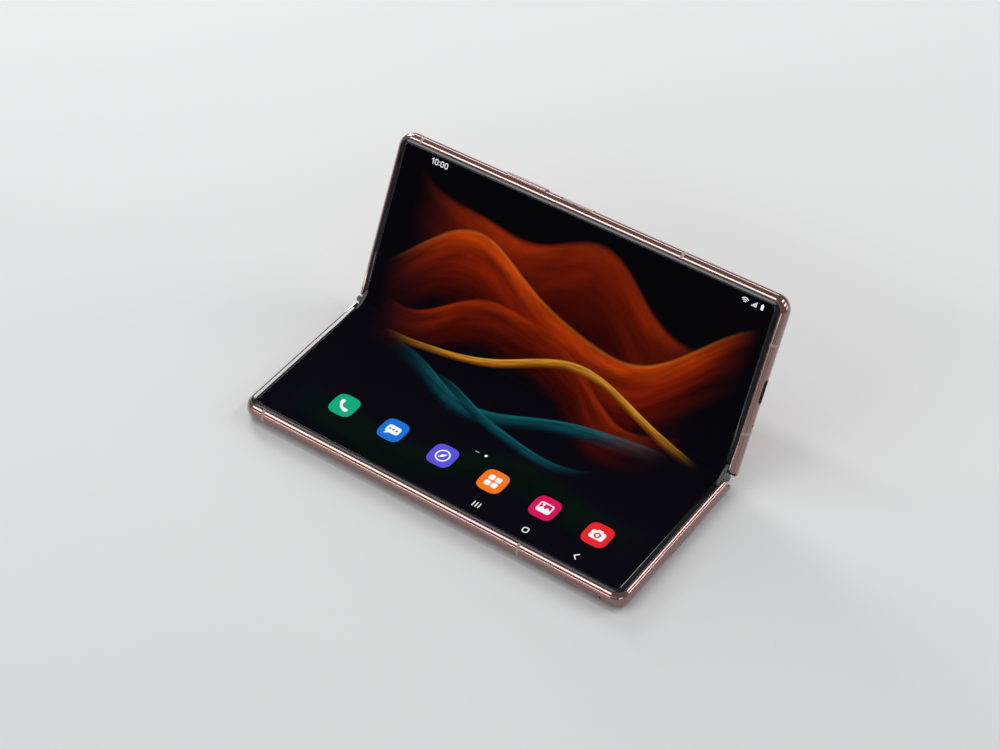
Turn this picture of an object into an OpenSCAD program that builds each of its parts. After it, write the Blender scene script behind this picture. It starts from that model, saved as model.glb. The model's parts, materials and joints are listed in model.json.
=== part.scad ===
// Foldable smartphone, partly open, lying on its cover-screen half.
// Origin: centre of the lower half's outer face. X runs along the hinge, +Y towards the fold, +Z up.
// "v" is the distance from the fold line inside one half, measured with the phone flat.

/* [Body] */
// Length along the hinge
body_l = 159.2; // [158.6:0.1:168]
// Width of one half, from the fold line to its free edge
half_w = 64.1; // [63:0.1:70]
// Thickness of one half
half_t = 6.9; // [6.9:0.05:7.4]
// Corner radius in plan
corner_r = 5.5; // [4.6:0.1:8]
// Radius of the rounded frame side
side_r = 4; // [3.8:0.1:6]
// Frame wall thickness
wall = 2.6; // [2.4:0.05:2.8]
// Angle between the two screens
opening_angle = 119.3; // [95:0.1:140]

/* [Screens and glass] */
// Thickness of the outer glass
glass_t = 0.6; // [0.5:0.05:0.7]
// Distance from the body edge to the seat of the outer glass
seat_inset = 2.2; // [2.1:0.05:2.5]
// Thickness of the cover screen panel
cover_panel_t = 0.7; // [0.5:0.05:0.8]
// Thickness of the folding screen
display_t = 0.45; // [0.3:0.01:0.5]
// Thickness of the steel plate under the folding screen
support_t = 0.4; // [0.35:0.01:0.45]
// Width of the dark border at the ends of the folding screen
bezel_end = 4.15; // [4:0.05:5]
// Width of the dark border along the free edges
bezel_side = 3.7; // [3.5:0.05:4.5]
// Height of the border above the folding screen
bezel_lip = 0.25; // [0.2:0.01:0.3]
// Flat width of screen on each side of the fold that bends
fold_half = 7; // [6.6:0.1:8]

/* [Hinge] */
// Distance from the fold line to each half's turning axis
axis_offset = 1.5; // [1.4:0.05:1.6]
// Outer radius of the spine cover
cover_r = 5.4; // [5.3:0.01:5.45]
// Wall of the spine cover
cover_wall = 0.5; // [0.4:0.01:0.55]
// Running gap between the spine cover and the halves
gutter_gap = 0.15; // [0.1:0.01:0.2]
// Pitch radius of the hinge gears
gear_r = 1.1; // [1.05:0.01:1.12]
// Teeth on each hinge gear, an even count
gear_teeth = 8; // [6:2:10]
// Depth of the gear axes below the turning axes
gear_depth = 2.7; // [2.65:0.01:2.75]
// Distance from the middle of the phone to each hinge module
module_x = 46; // [42:0.5:54]
// Inner radius of the arc rail
rail_r0 = 3; // [2.9:0.05:3.1]
// Outer radius of the arc rail
rail_r1 = 3.9; // [3.8:0.05:3.95]
// Radius of the gear shafts
shaft_r = 0.6; // [0.5:0.01:0.62]
// Radius of the crank pins
pin_r = 0.35; // [0.3:0.01:0.37]
// Throw of the crank pins
crank_throw = 0.9; // [0.85:0.01:0.95]
// Running clearance of shafts, pins and rails
run_gap = 0.05; // [0.03:0.005:0.06]

/* [Keys and ports] */
// Length of the volume rocker
rocker_l = 18; // [16:0.1:20]
// Middle of the volume rocker along the hinge
rocker_x = -26.5; // [-30:0.1:-26]
// Height of the volume rocker
rocker_h = 2.2; // [1.9:0.05:2.3]
// How far the volume rocker stands out of the frame
rocker_proud = 0.45; // [0.3:0.01:0.6]
// Length of the side key
key_l = 13.5; // [12:0.1:14]
// Middle of the side key along the hinge
key_x = -5.5; // [-6:0.1:-3]
// Height of the side key
key_h = 2.6; // [2.3:0.05:2.7]
// Depth of the side key's face below the frame
key_sunk = 0.15; // [0.1:0.01:0.25]
// Width of the card tray
tray_w = 12.1; // [11:0.1:13]
// Distance from the body's end to the card tray
tray_end = 9.7; // [9.2:0.05:11.5]
// Length of the card tray from the frame's outer face
tray_l = 18.6; // [17.5:0.1:20]
// Distance from the middle of the tray to its eject hole
eject_dx = 7.15; // [7:0.05:8]
// Radius of the eject hole
eject_r = 0.45; // [0.4:0.01:0.5]
// Distance from the fold to the middle of the charging port
port_v = 31.05; // [28:0.05:34]
// Width of the charging port's opening
port_w = 8.34; // [8.34:0.01:8.4]
// Height of the charging port's opening
port_h = 2.56; // [2.56:0.01:2.6]
// Wall of the charging port's shell
port_wall = 0.3; // [0.2:0.01:0.35]
// Depth of the charging port
port_depth = 6.6; // [6.2:0.1:7]

/* [Cameras] */
// Length of the rear camera island
island_l = 44; // [42:0.1:46]
// Width of the rear camera island
island_w = 15.5; // [14:0.1:16]
// Height of the island above the rear glass
island_proud = 1; // [0.8:0.05:1.2]
// Distance from the body's end to the island
island_end = 6.6; // [5.6:0.1:7.6]
// Distance from the free edge to the island
island_edge = 6.85; // [6.4:0.05:7.8]
// Spacing of the three rear lenses
lens_pitch = 12; // [11.5:0.1:12.4]
// Outer radius of a lens ring
ring_r = 5; // [4.8:0.05:5.3]
// Radius of a rear lens glass
lens_r = 3.85; // [3.5:0.05:4]

/* [Hidden] */
$fn = 48;

// Small gaps
fit_gap = 0.08;        // between glued or seated pieces
key_gap = 0.15;        // around keys and the tray
meet_gap = 0.08;       // from the fold line to each half's edge
panel_gap = 0.3;       // around the cover screen's panel and the seats
lap = 0.1;             // where two shapes of one piece run into each other
over = 1;              // how far a cut runs past what it cuts
eps = 0.01;

// Levels of one half, from its outer face
frame_z0 = 0.05;
bezel_top = half_t;
display_top = bezel_top - bezel_lip;
support_top = display_top - display_t;
web_top = support_top - support_t;
web_t = 0.6;
web_z0 = web_top - web_t;
rim_drop = 0.3;
frame_z1 = half_t - rim_drop;
mid_z = half_t / 2;

// Plan of one half
half_l = body_l / 2;
recess_inset = 1.9;
bezel_gap = 0.1;
display_x = half_l - bezel_end;
display_v = half_w - bezel_side;
rest_shift = half_w / 2;

// Gutter that takes the spine
gutter_r = cover_r + gutter_gap;
gutter_edge = axis_offset + gutter_r;
bay_wall = 0.85;
bay_v0 = gutter_edge + bay_wall;
glass_v0 = 5.6;
spine_end = 2.6;
spine_half = half_l - spine_end;
cap_t = 0.6;
cover_half = spine_half - cap_t;
gutter_half = spine_half + gutter_gap;
fold_turn = (180 - opening_angle) / 2;
fold_max = 91;

// Hinge module stations, along X from the middle of the module, for the lower half's side
rail_x0 = -13.35;
rail_x1 = -10;
flange_x0 = -9.5;
flange_x1 = -8.2;
crank_x0 = -7.9;
crank_x1 = -7.1;
plate1_x0 = -7;
plate1_x1 = -5.5;
gear_x0 = -5.35;
gear_x1 = -3.15;
plate2_x0 = -3;
plate2_x1 = -1.8;
cam_x0 = -1.7;
cam_x1 = -0.2;
follower_t = 1.4;
stop_x0 = 5.5;
module_half = 14;
shaft_y = 3 * gear_r;
inner_r = cover_r - cover_wall;
bracket_gap = 0.02;
bracket_r = inner_r - bracket_gap;
bracket_top = 1.35;
base_drop = 1.45;
base_top = gear_depth + base_drop;
rail_top = half_t - support_top;
lug_t = support_t;
lug_drop = 1.1;
lug_v1 = 14.5;
lug_wall = 0.65;
lug_thick_v0 = gutter_edge + lug_wall;
lug_x1 = flange_x1;
cover_edge = half_t - web_top + lap;

// Flat cables that cross the hinge
flex_x = [-24, -11];
flex_w = 10;
flex_t = 0.12;
flex_depth = 1.5;
flex_notch = 0.15;
flex_tail = 12;
flex_room = 0.5;
flex_reach = 1.5;
seam = 0.002;
window_v1 = 13;

// Board levels
board_t = 0.8;
board_z1 = 4;
board_z0 = board_z1 - board_t;
shield_t = 1.2;
board_gap = 0.6;
board_v0 = bay_v0 + board_gap;
board_v1 = 18.5;
post_r = 1.3;

// Frame furniture
band_w = 1.1;
lower_band_x = [-70, 38.2];
upper_band_x = [-70.2, 38.2];
upper_band_v = [15.7, 47.7];
speaker_pitch = 1.3;
speaker_holes = 11;
speaker_z = 2.7;
speaker_hole_r = 0.42;
mic_v = 18.8;
mic_r = 0.4;
tray_h = 1.8;
carrier_h = 1;
tray_z = 3.4;
inner_cam_end = 10.6;
inner_cam_x = half_l - inner_cam_end;
inner_cam_v = half_w / 2;
cover_cam_end = 7.6;
cover_cam_x = half_l - cover_cam_end;
port_in = 0.35;
port_front = half_l - port_in;

// Camera island and card tray
island_x = -half_l + island_end + island_l / 2;
island_v = half_w - island_edge - island_w / 2;
flash_r = 1.8;
flash_gap = 1.2;       // between the last lens ring and the flash
row_l = 2 * ring_r + 2 * lens_pitch + flash_gap + 2 * flash_r;
row_share = 0.29;      // part of the island's spare length that lies before the first ring
row_x0 = island_x - island_l / 2 + row_share * (island_l - row_l) + ring_r;
lens_x = [for (i = [0:2]) row_x0 + i * lens_pitch];
flash_x = lens_x[2] + ring_r + flash_gap + flash_r;
module_w = 10.6;
tray_x = half_l - tray_end - tray_w / 2;
reader_back = 0.8;
reader_v0 = half_w - tray_l - reader_back;

// Rooms inside the halves
room_gap = 3.7;
battery_gap = 0.5;
battery_edge = 6.1;
battery_end = 27.6;
battery_v0 = board_v1 + battery_gap;
battery_v1 = half_w - battery_edge;
battery_x1 = half_l - battery_end;
end_room_l = 23.6;
end_room_x = half_l - end_room_l;
lower_board_end = 4.6;
lower_board_l = 34;
lower_board_edge = 1;
lower_board_x0 = -half_l + lower_board_end;
lower_board_x1 = lower_board_x0 + lower_board_l;
lower_board_v1 = battery_v1 - lower_board_edge;
lower_board_gap = 3;
lower_battery_x0 = lower_board_x1 + lower_board_gap;
main_board_end = 15.6;
main_board_l = 42;
main_board_x0 = -half_l + main_board_end;
main_board_x1 = main_board_x0 + main_board_l;
main_board_v1 = island_v - module_w / 2 - room_gap;
main_board_gap = 4;
upper_battery_x0 = main_board_x1 + main_board_gap;
port_board_w = 11.45;
port_board_v1 = port_v + port_board_w;

// Row of speaker holes, in the middle of the room before the card reader
speaker_shift = 2.5;
speaker_row = (speaker_holes - 1) * speaker_pitch;
speaker_v0 = (board_v1 + reader_v0) / 2 - speaker_shift - speaker_row / 2;
speaker_v1 = speaker_v0 + speaker_row;

// Posts that carry the boards
post_in = 3;
post_x = 4;
post_low_v = 13;
post_rise = 5.5;
port_post_in = 10;
function board_posts(x0, x1, v1) = [[x0 + post_x, post_low_v], [x1 - post_x, board_v1 + post_rise],
  [x0 + post_x, v1 - post_in], [x1 - post_x, v1 - post_in]];
lower_posts = board_posts(lower_board_x0, lower_board_x1, lower_board_v1);
upper_posts = concat(board_posts(main_board_x0, main_board_x1, main_board_v1),
  [for (v = [board_v1 + post_in, port_board_v1 - post_in]) [end_room_x + port_post_in, v]]);

// Screws of the hinge
screw_r = 0.38;
screw_bore_r = 0.4;
screw_pass_r = 0.5;
screw_depth = 4;
head_r = 0.9;
head_t = 0.5;
socket_r = 0.45;
spine_head_r = 0.75;
spine_head_t = 0.4;

// ---------------------------------------------------------------- placing
module place_lower() translate([0, rest_shift, 0]) mirror([0, 1, 0]) children();

module turn_about(v, angle)
  translate([0, v, half_t]) rotate([angle, 0, 0]) translate([0, -v, -half_t]) children();

module place_spine() translate([0, rest_shift, 0]) turn_about(-axis_offset, fold_turn) children();

module place_upper() place_spine() turn_about(axis_offset, fold_turn) children();

// Extrudes an outline drawn in (y, z) along X from x0 to x1
module along_x(x0, x1) translate([x0, 0, 0]) rotate([90, 0, 90]) linear_extrude(x1 - x0) children();

module box(x0, x1, y0, y1, z0, z1) translate([x0, y0, z0]) cube([x1 - x0, y1 - y0, z1 - z0]);

module both_ends() { children(); mirror([1, 0, 0]) children(); }

// Puts a shape drawn for the lower half's side of a module at both modules
module at_modules() for (x = [-module_x, module_x]) translate([x, 0, 0]) children();

// ---------------------------------------------------------------- shared outlines
// Half outline with its two free corners rounded
module half_outline(inset, v0, r_extra = 0) {
  r = corner_r - inset + r_extra;
  x1 = half_l - inset;
  v1 = half_w - inset;
  translate([-x1, v0]) square([2 * x1, v1 - r - v0]);
  translate([-(x1 - r), v0]) square([2 * (x1 - r), v1 - v0]);
  for (s = [-1, 1]) translate([s * (x1 - r), v1 - r]) circle(r);
}

module half_plate(inset, v0, z0, z1) translate([0, 0, z0]) linear_extrude(z1 - z0) half_outline(inset, v0);

// Screen-sized plate, square at the fold
module screen_plate(x1, v0, v1, r, z0, z1) translate([0, 0, z0]) linear_extrude(z1 - z0) {
  translate([-x1, v0]) square([2 * x1, v1 - r - v0]);
  translate([-(x1 - r), v0]) square([2 * (x1 - r), v1 - v0]);
  for (s = [-1, 1]) translate([s * (x1 - r), v1 - r]) circle(r);
}

// Rounded side of the frame, from the corner centre line outwards
module side_profile() intersection() {
  union() {
    translate([corner_r - side_r, mid_z]) circle(side_r);
    square([corner_r - side_r, half_t]);
  }
  translate([0, frame_z0]) square([corner_r + eps, frame_z1 - frame_z0]);
}

// Solid half with rounded sides on its three free edges
module rounded_half() {
  x1 = half_l - corner_r;
  v1 = half_w - corner_r;
  box(-x1, x1, meet_gap, v1, frame_z0, frame_z1);
  translate([-x1, v1, 0]) rotate([90, 0, 90]) linear_extrude(2 * x1) side_profile();
  both_ends() {
    translate([x1, v1, 0]) rotate([90, 0, 0]) linear_extrude(v1 - meet_gap) side_profile();
    translate([x1, v1, 0]) rotate_extrude(angle = 90) side_profile();
  }
}

// Pill outline centred on the origin, long side along X
module pill(l, w) {
  square([l - w, w], center = true);
  for (s = [-1, 1]) translate([s * (l - w) / 2, 0]) circle(w / 2);
}

// Pill-shaped bar through the free edge, from v0 to v1
module edge_pill(x, l, h, v0, v1)
  translate([x, v1, mid_z]) rotate([90, 0, 0]) linear_extrude(v1 - v0) pill(l, h);

// Outline of the spine at radius r, below the level "top" under the turning axes
module spine_outline(r, top) intersection() {
  union() {
    for (s = [-1, 1]) translate([s * axis_offset, half_t]) circle(r, $fn = 96);
    translate([-axis_offset, half_t - r]) square([2 * axis_offset, r]);
  }
  translate([-2 * cover_r, half_t - 2 * cover_r]) square([4 * cover_r, 2 * cover_r - top]);
}

// ---------------------------------------------------------------- frames
// Lug seats and screw holes that a half has at both modules; the lower half draws them at -X stations
seat_wall = 1;
seat_reach = 1.2;
seat_floor = 0.2;
module bracket_seat_block() box(rail_x0 - seat_wall, lug_x1 + seat_wall, gutter_edge - seat_reach,
  lug_v1 + seat_wall, half_t - screw_depth - seat_floor, web_z0 + eps);

module bracket_seat_cut() {
  box(rail_x0 - key_gap, lug_x1 + key_gap, lug_thick_v0 - lap, lug_v1 + lap, half_t - 2 * lug_drop, half_t);
  for (v = lug_screw_v) translate([(rail_x0 + lug_x1) / 2, v, half_t - screw_depth])
    cylinder(r = screw_bore_r, h = screw_depth);
}

lug_screw_v = [9.6, 12.6];

module gutter_cut() intersection() {
  along_x(-gutter_half, gutter_half) union() {
    translate([axis_offset, half_t]) circle(gutter_r, $fn = 96);
    translate([-over, half_t - gutter_r]) square([axis_offset + over, gutter_r + over]);
  }
  box(-half_l, half_l, -over, 2 * gutter_edge, 0, half_t + gutter_r + over);
}

// Room at the hinge ends for the stems of the end caps, with a rounded upper edge on the frame
module stem_cut() both_ends() {
  box(spine_half - over, half_l + over, 0, stem_cut_v, half_t - stem_cut_h, half_t + over);
  difference() {
    box(spine_half - over, half_l + over, 0, stem_cut_v + end_round, frame_z1 - end_round, half_t + over);
    along_x(spine_half - 2 * over, half_l + 2 * over)
      translate([stem_cut_v + end_round, frame_z1 - end_round]) circle(end_round);
  }
}
stem_cut_v = 1.25;
stem_cut_h = 2.6;
end_round = 0.9;

module frame_shell(side) difference() {
  union() {
    difference() {
      rounded_half();
      half_plate(wall, bay_v0, glass_t, web_z0);
    }
    at_modules() scale_x(side) bracket_seat_block();
  }
  half_plate(seat_inset, glass_v0, -over, glass_t);
  half_plate(recess_inset, -over, web_top, half_t + over);
  gutter_cut();
  stem_cut();
  at_modules() scale_x(side) bracket_seat_cut();
  for (x = flex_x) box(x - flex_w / 2 - flex_room, x + flex_w / 2 + flex_room, gutter_edge - flex_reach,
      window_v1, web_z0 - lap, half_t);
  sweeper_bar(sweeper_gap);
}

// Draws a shape as given for +1, and mirrored end for end for -1
module scale_x(s) if (s > 0) children(); else mirror([1, 0, 0]) children();

lower_side = 1;
upper_side = -1;

module band_boxes(xs, vs) {
  for (x = xs) box(x - band_w / 2, x + band_w / 2, half_w - wall, half_w + over, -over, half_t + over);
  for (v = vs) box(half_l - wall, half_l + over, v - band_w / 2, v + band_w / 2, -over, half_t + over);
}

module lower_frame() color("#b5836f") place_lower() difference() {
  union() {
    frame_shell(lower_side);
    posts(lower_posts);
  }
  band_boxes(lower_band_x, []);
  for (i = [0:speaker_holes - 1]) translate([half_l - 2 * wall, speaker_v0 + i * speaker_pitch, speaker_z])
    rotate([0, 90, 0]) cylinder(r = speaker_hole_r, h = 3 * wall);
  box(tray_x - tray_w / 2 - key_gap, tray_x + tray_w / 2 + key_gap, half_w - 2 * wall, half_w + over,
      tray_z - tray_h / 2 - key_gap, tray_z + tray_h / 2 + key_gap);
  translate([tray_x + eject_dx, half_w + over, tray_z]) rotate([90, 0, 0]) cylinder(r = eject_r,
      h = 2 * wall);
}

module upper_frame() color("#b5836f") place_upper() difference() {
  union() {
    frame_shell(upper_side);
    posts(upper_posts);
  }
  band_boxes(upper_band_x, upper_band_v);
  edge_pill(rocker_x, rocker_l + 2 * key_gap, rocker_h + 2 * key_gap, half_w - 2 * wall, half_w + over);
  edge_pill(key_x, key_l + 2 * key_gap, key_h + 2 * key_gap, half_w - 2 * wall, half_w + over);
  port_outline_bar(fit_gap, half_l - 2 * wall, half_l + over);
  translate([half_l - 2 * wall, mic_v, mid_z]) rotate([0, 90, 0]) cylinder(r = mic_r, h = 3 * wall);
  translate([-inner_cam_x, inner_cam_v, board_z1]) cylinder(r = inner_cam_r + fit_gap, h = half_t);
}
inner_cam_r = 2;

// Stand-offs between the web and the boards
module posts(spots) for (p = spots) translate([p[0], p[1], board_z1]) cylinder(r = post_r,
    h = web_z0 - board_z1 + eps);

module antenna_bands(side, xs, vs) color("#8a6558") intersection() {
  frame_shell(side);
  band_boxes(xs, vs);
}
module lower_antenna_bands() place_lower() antenna_bands(lower_side, lower_band_x, []);
module upper_antenna_bands() place_upper() antenna_bands(upper_side, upper_band_x, upper_band_v);

// ---------------------------------------------------------------- outer glass and cover screen
module outer_glass() half_plate(seat_inset + fit_gap, glass_v0 + fit_gap, 0, glass_t);

module cover_display_glass() color("#101216") place_lower() outer_glass();

module cover_display_panel() color("#181a20") place_lower() difference() {
  half_plate(wall + panel_gap, bay_v0 + panel_gap, glass_t, glass_t + cover_panel_t);
  translate([-cover_cam_x, inner_cam_v, 0]) cylinder(r = cover_cam_r + fit_gap, h = half_t);
}
cover_cam_r = 1.7;

module rear_glass() color("#9a6a58") place_upper() difference() {
  outer_glass();
  translate([island_x, island_v, -over]) linear_extrude(2 * over) pill(island_l + 2 * fit_gap,
      island_w + 2 * fit_gap);
}

// ---------------------------------------------------------------- folding screen
module display_lower() color("#0c0e18") place_lower() display_half();
module display_upper() color("#0c0e18") place_upper() display_half();
screen_r = 3.2;
module display_half() screen_plate(display_x - fit_gap, fold_half, display_v - fit_gap, screen_r,
    support_top, display_top);

// Strip of material that stays "depth" below the turning axes in both halves and bends between them.
// It is straight, then an arc whose length keeps the strip's flat width, then straight.
module bent_strip(depth, thick, reach, arc_r) {
  b = [-axis_offset + 2 * axis_offset * cos(fold_turn), half_t + 2 * axis_offset * sin(fold_turn)];
  p1 = [-reach, half_t - depth];
  d = [reach - axis_offset, -depth];
  p2 = b + [d[0] * cos(2 * fold_turn) - d[1] * sin(2 * fold_turn), d[0] * sin(2 * fold_turn)
      + d[1] * cos(2 * fold_turn)];
  leg = norm(p2 - p1) / 2 / cos(fold_turn);
  straight = leg - arc_r * tan(fold_turn);
  c = p1 + [straight, arc_r];
  translate(p1 - [0, thick]) square([straight + seam, thick]);
  translate(p2) rotate(2 * fold_turn) translate([-straight - seam, -thick]) square([straight + seam, thick]);
  intersection() {
    translate(c) difference() {
      circle(arc_r + thick, $fn = 96);
      circle(arc_r, $fn = 96);
    }
    translate(c) polygon([[0, 0], [0, -3 * arc_r], [3 * arc_r * tan(fold_turn), -3 * arc_r],
                          [3 * arc_r * sin(2 * fold_turn), -3 * arc_r * cos(2 * fold_turn)]]);
  }
}

// Radius that gives the folding screen its full flat width
fold_corner = norm([2 * axis_offset * cos(fold_turn) - axis_offset + (fold_half - axis_offset)
    * cos(2 * fold_turn)
    + bezel_lip * sin(2 * fold_turn) + fold_half,
    2 * axis_offset * sin(fold_turn) + (fold_half - axis_offset) * sin(2 * fold_turn)
    - bezel_lip * cos(2 * fold_turn) + bezel_lip]) / cos(fold_turn);
fold_arc_r = (fold_corner - 2 * fold_half) / (2 * tan(fold_turn) - 2 * fold_turn * PI / 180);

module display_fold() color("#0c0e18") translate([0, rest_shift, 0])
  along_x(-display_x + fit_gap, display_x - fit_gap) bent_strip(bezel_lip, display_t, fold_half, fold_arc_r);

module display_support(side) color("#8d9095") difference() {
  screen_plate(display_x, support_v0, display_v, screen_r, web_top, support_top);
  at_modules() scale_x(side)
    box(rail_x0 - key_gap, lug_x1 + key_gap, support_v0 - over, lug_v1 + key_gap, 0, half_t);
}
support_gap = 0.6;
support_v0 = axis_offset + support_gap;
module lower_display_support() place_lower() display_support(lower_side);
module upper_display_support() place_upper() difference() {
  display_support(upper_side);
  translate([-inner_cam_x, inner_cam_v, 0]) cylinder(r = inner_cam_r + fit_gap, h = half_t);
}

module bezel() color("#16161a") difference() {
  half_plate(recess_inset + bezel_gap, bezel_v0, web_top, bezel_top);
  screen_plate(display_x + eps, 0, display_v + eps, screen_r, 0, half_t + over);
}
bezel_start = 3;
bezel_v0 = axis_offset + bezel_start;
module lower_bezel() place_lower() bezel();
module upper_bezel() place_upper() difference() {
  bezel();
  bumper_pads(bracket_gap, half_t);
}

// Soft pads in the two ends of the upper border, which part the borders when the phone is shut
bumper_l = 5.2;
bumper_w = 1.1;
bumper_sunk = 0.3;
bumper_edge = 6.9;
bumper_end = 3;
module bumper_pads(gap, h) for (s = [-1, 1])
  translate([s * (half_l - bumper_end), half_w - bumper_edge - bumper_l / 2, bezel_top - bumper_sunk])
    rotate(90) linear_extrude(h) pill(bumper_l + 2 * gap, bumper_w + 2 * gap);
module upper_bumpers() color("#3a3436") place_upper() bumper_pads(0, bumper_sunk);

// ---------------------------------------------------------------- hinge: pieces on the halves
// Slot path of the crank pin in a half's flange, centred on the turning axis moved by the crank throw
slot_r = norm([shaft_y - axis_offset, gear_depth]);
slot_a0 = -atan2(gear_depth, shaft_y - axis_offset);
slot_margin = 4;
flange_half = 0.95;
flange_play = 0.2;
flange_a0 = slot_a0 + 52;
flange_a1 = slot_a0 - fold_max - 3 * slot_margin;
rail_a1 = -155;

module sector(r, a0, a1) polygon([[0, 0], for (i = [0:4]) r * [cos(a0 + (a1 - a0) * i / 4),
    sin(a0 + (a1 - a0) * i / 4)]]);

module arc_band(r0, r1, a0, a1) intersection() {
  difference() {
    circle(r1, $fn = 96);
    circle(r0, $fn = 96);
  }
  sector(2 * r1, a0, a1);
}

module pin_slot() {
  arc_band(slot_r - pin_r - run_gap, slot_r + pin_r + run_gap, slot_a0 + slot_margin,
      slot_a0 - fold_max - slot_margin);
  for (a = [slot_a0 + slot_margin, slot_a0 - fold_max - slot_margin])
    translate(slot_r * [cos(a), sin(a)]) circle(pin_r + run_gap);
}

module flange_outline() difference() {
  intersection() {
    translate([crank_throw, 0]) arc_band(slot_r - flange_half, slot_r + flange_half, flange_a0, flange_a1);
    circle(inner_r - flange_play, $fn = 96);
    translate([-2 * cover_r, -2 * cover_r]) square([4 * cover_r, 2 * cover_r - rail_top]);
  }
  translate([crank_throw, 0]) pin_slot();
}

module rail_outline() intersection() {
  arc_band(rail_r0, rail_r1, 0, rail_a1);
  translate([-2 * cover_r, -2 * cover_r]) square([4 * cover_r, 2 * cover_r - rail_top]);
}

// Rotating bracket: lug plate on the half, arc rail and slotted flange inside the spine
module hinge_bracket() difference() {
  union() {
    box(rail_x0, lug_x1, axis_offset + rail_r0 - lap, lug_v1, half_t - lug_drop, support_top);
    box(rail_x0, lug_x1, lug_thick_v0, lug_v1, half_t - 2 * lug_drop, support_top);
    along_x(rail_x0, rail_x1) translate([axis_offset, half_t]) rail_outline();
    along_x(flange_x0, flange_x1) translate([axis_offset, half_t]) flange_outline();
  }
  for (v = lug_screw_v) translate([(rail_x0 + lug_x1) / 2, v, 0]) {
    cylinder(r = screw_pass_r, h = half_t);
    translate([0, 0, support_top - head_t - run_gap]) cylinder(r = head_r + run_gap, h = over);
  }
}
module lower_hinge_brackets() color("#a9acb0") place_lower() at_modules() hinge_bracket();
module upper_hinge_brackets() color("#a9acb0") place_upper() at_modules() mirror([1, 0, 0]) hinge_bracket();

module hinge_screw() {
  translate([0, 0, support_top - head_t]) difference() {
    cylinder(r = head_r, h = head_t);
    translate([0, 0, head_t / 2]) cylinder(r = socket_r, h = over, $fn = 6);
  }
  translate([0, 0, half_t - screw_depth + lap])
    cylinder(r = screw_r, h = support_top - half_t + screw_depth - head_t);
}
module hinge_screws() for (v = lug_screw_v) translate([(rail_x0 + lug_x1) / 2, v, 0]) hinge_screw();
module lower_hinge_screws() color("#5d6066") place_lower() at_modules() hinge_screws();
module upper_hinge_screws() color("#5d6066") place_upper() at_modules() mirror([1, 0, 0]) hinge_screws();

// Bristle strip in the gutter wall that sweeps the spine cover
sweeper_end = 9;
sweeper_half = half_l - sweeper_end;
sweeper_gap = 0.02;
sweeper_lift = 0.07;
sweeper_t = 0.6;
sweeper_a = [-32, -42];
module sweeper_bar(gap) along_x(-sweeper_half - gap, sweeper_half + gap) translate([axis_offset, half_t])
  arc_band(gap > 0 ? cover_r : cover_r + sweeper_lift, cover_r + sweeper_t + gap,
           sweeper_a[0] + 2 * gap, sweeper_a[1] - 2 * gap);
module lower_sweeper() color("#202020") place_lower() sweeper_bar(0);
module upper_sweeper() color("#202020") place_upper() sweeper_bar(0);

// ---------------------------------------------------------------- hinge: spine
module spine_cover() color("#b98a76") place_spine() difference() {
  along_x(-cover_half, cover_half) difference() {
    spine_outline(cover_r, cover_edge);
    spine_outline(inner_r, cover_edge - over);
  }
  for (x = flex_x) box(x - flex_w / 2 - flex_room, x + flex_w / 2 + flex_room, -2 * cover_r, 2 * cover_r,
                       half_t - flex_depth - flex_notch, half_t);
  at_modules() for (p = spine_screw_spots) translate([p[0], p[1], 0])
    cylinder(r = screw_bore_r, h = 2 * half_t, center = true);
}

// End caps: an end wall, two arms along the border of the screen and a stem between the frames
cap_in = 0.1;
arm_gap = 0.3;
stem_gap = 0.2;
stem_in = 0.9;
cap_arm_y = bezel_v0 - arm_gap;
cap_stem_y = stem_cut_v - stem_gap;
cap_arm_t = 1;
cap_top = 0.12;
cap_web_y = 1.5;
cap_web_h = 2;
module spine_end_caps() color("#8f8f92") place_spine() both_ends() {
  along_x(cover_half, spine_half) union() {
    spine_outline(cover_r - cap_in, cover_edge + cap_in);
    translate([-cap_web_y, half_t - cap_web_h]) square([2 * cap_web_y, cap_web_h - cap_top]);
  }
  box(display_x + cap_in, spine_half, -cap_arm_y, cap_arm_y, half_t - cap_top - cap_arm_t, half_t - cap_top);
  box(spine_half - eps, half_l - stem_in, -cap_stem_y, cap_stem_y, half_t - stem_cut_h + stem_gap,
      half_t - cap_top);
}

// Fixed bracket inside the spine: rail blocks at its ends, bearing plates for the gears between
module rail_block() along_x(-module_half, rail_x1) spine_outline(bracket_r, bracket_top);
module rail_groove() along_x(rail_x0 - run_gap, rail_x1 + eps) translate([-axis_offset,
    half_t]) difference() {
  circle(rail_r1 + run_gap, $fn = 96);
  circle(rail_r0 - run_gap, $fn = 96);
}
module flange_room() along_x(rail_x1, plate1_x0 + eps)
  translate([-axis_offset, half_t]) circle(inner_r - run_gap, $fn = 96);

// The upper half's side of a module is the lower half's side turned half round
module both_sides() { children(); rotate([0, 0, 180]) children(); }

module shaft_holes() {
  for (y = [-3, -1, 1, 3]) translate([0, y * gear_r, half_t - gear_depth]) rotate([0, 90, 0])
    cylinder(r = abs(y) == 3 ? shaft_r + run_gap : idler_r + run_gap, h = 2 * module_half, center = true);
}
idler_r = 0.45;

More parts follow.
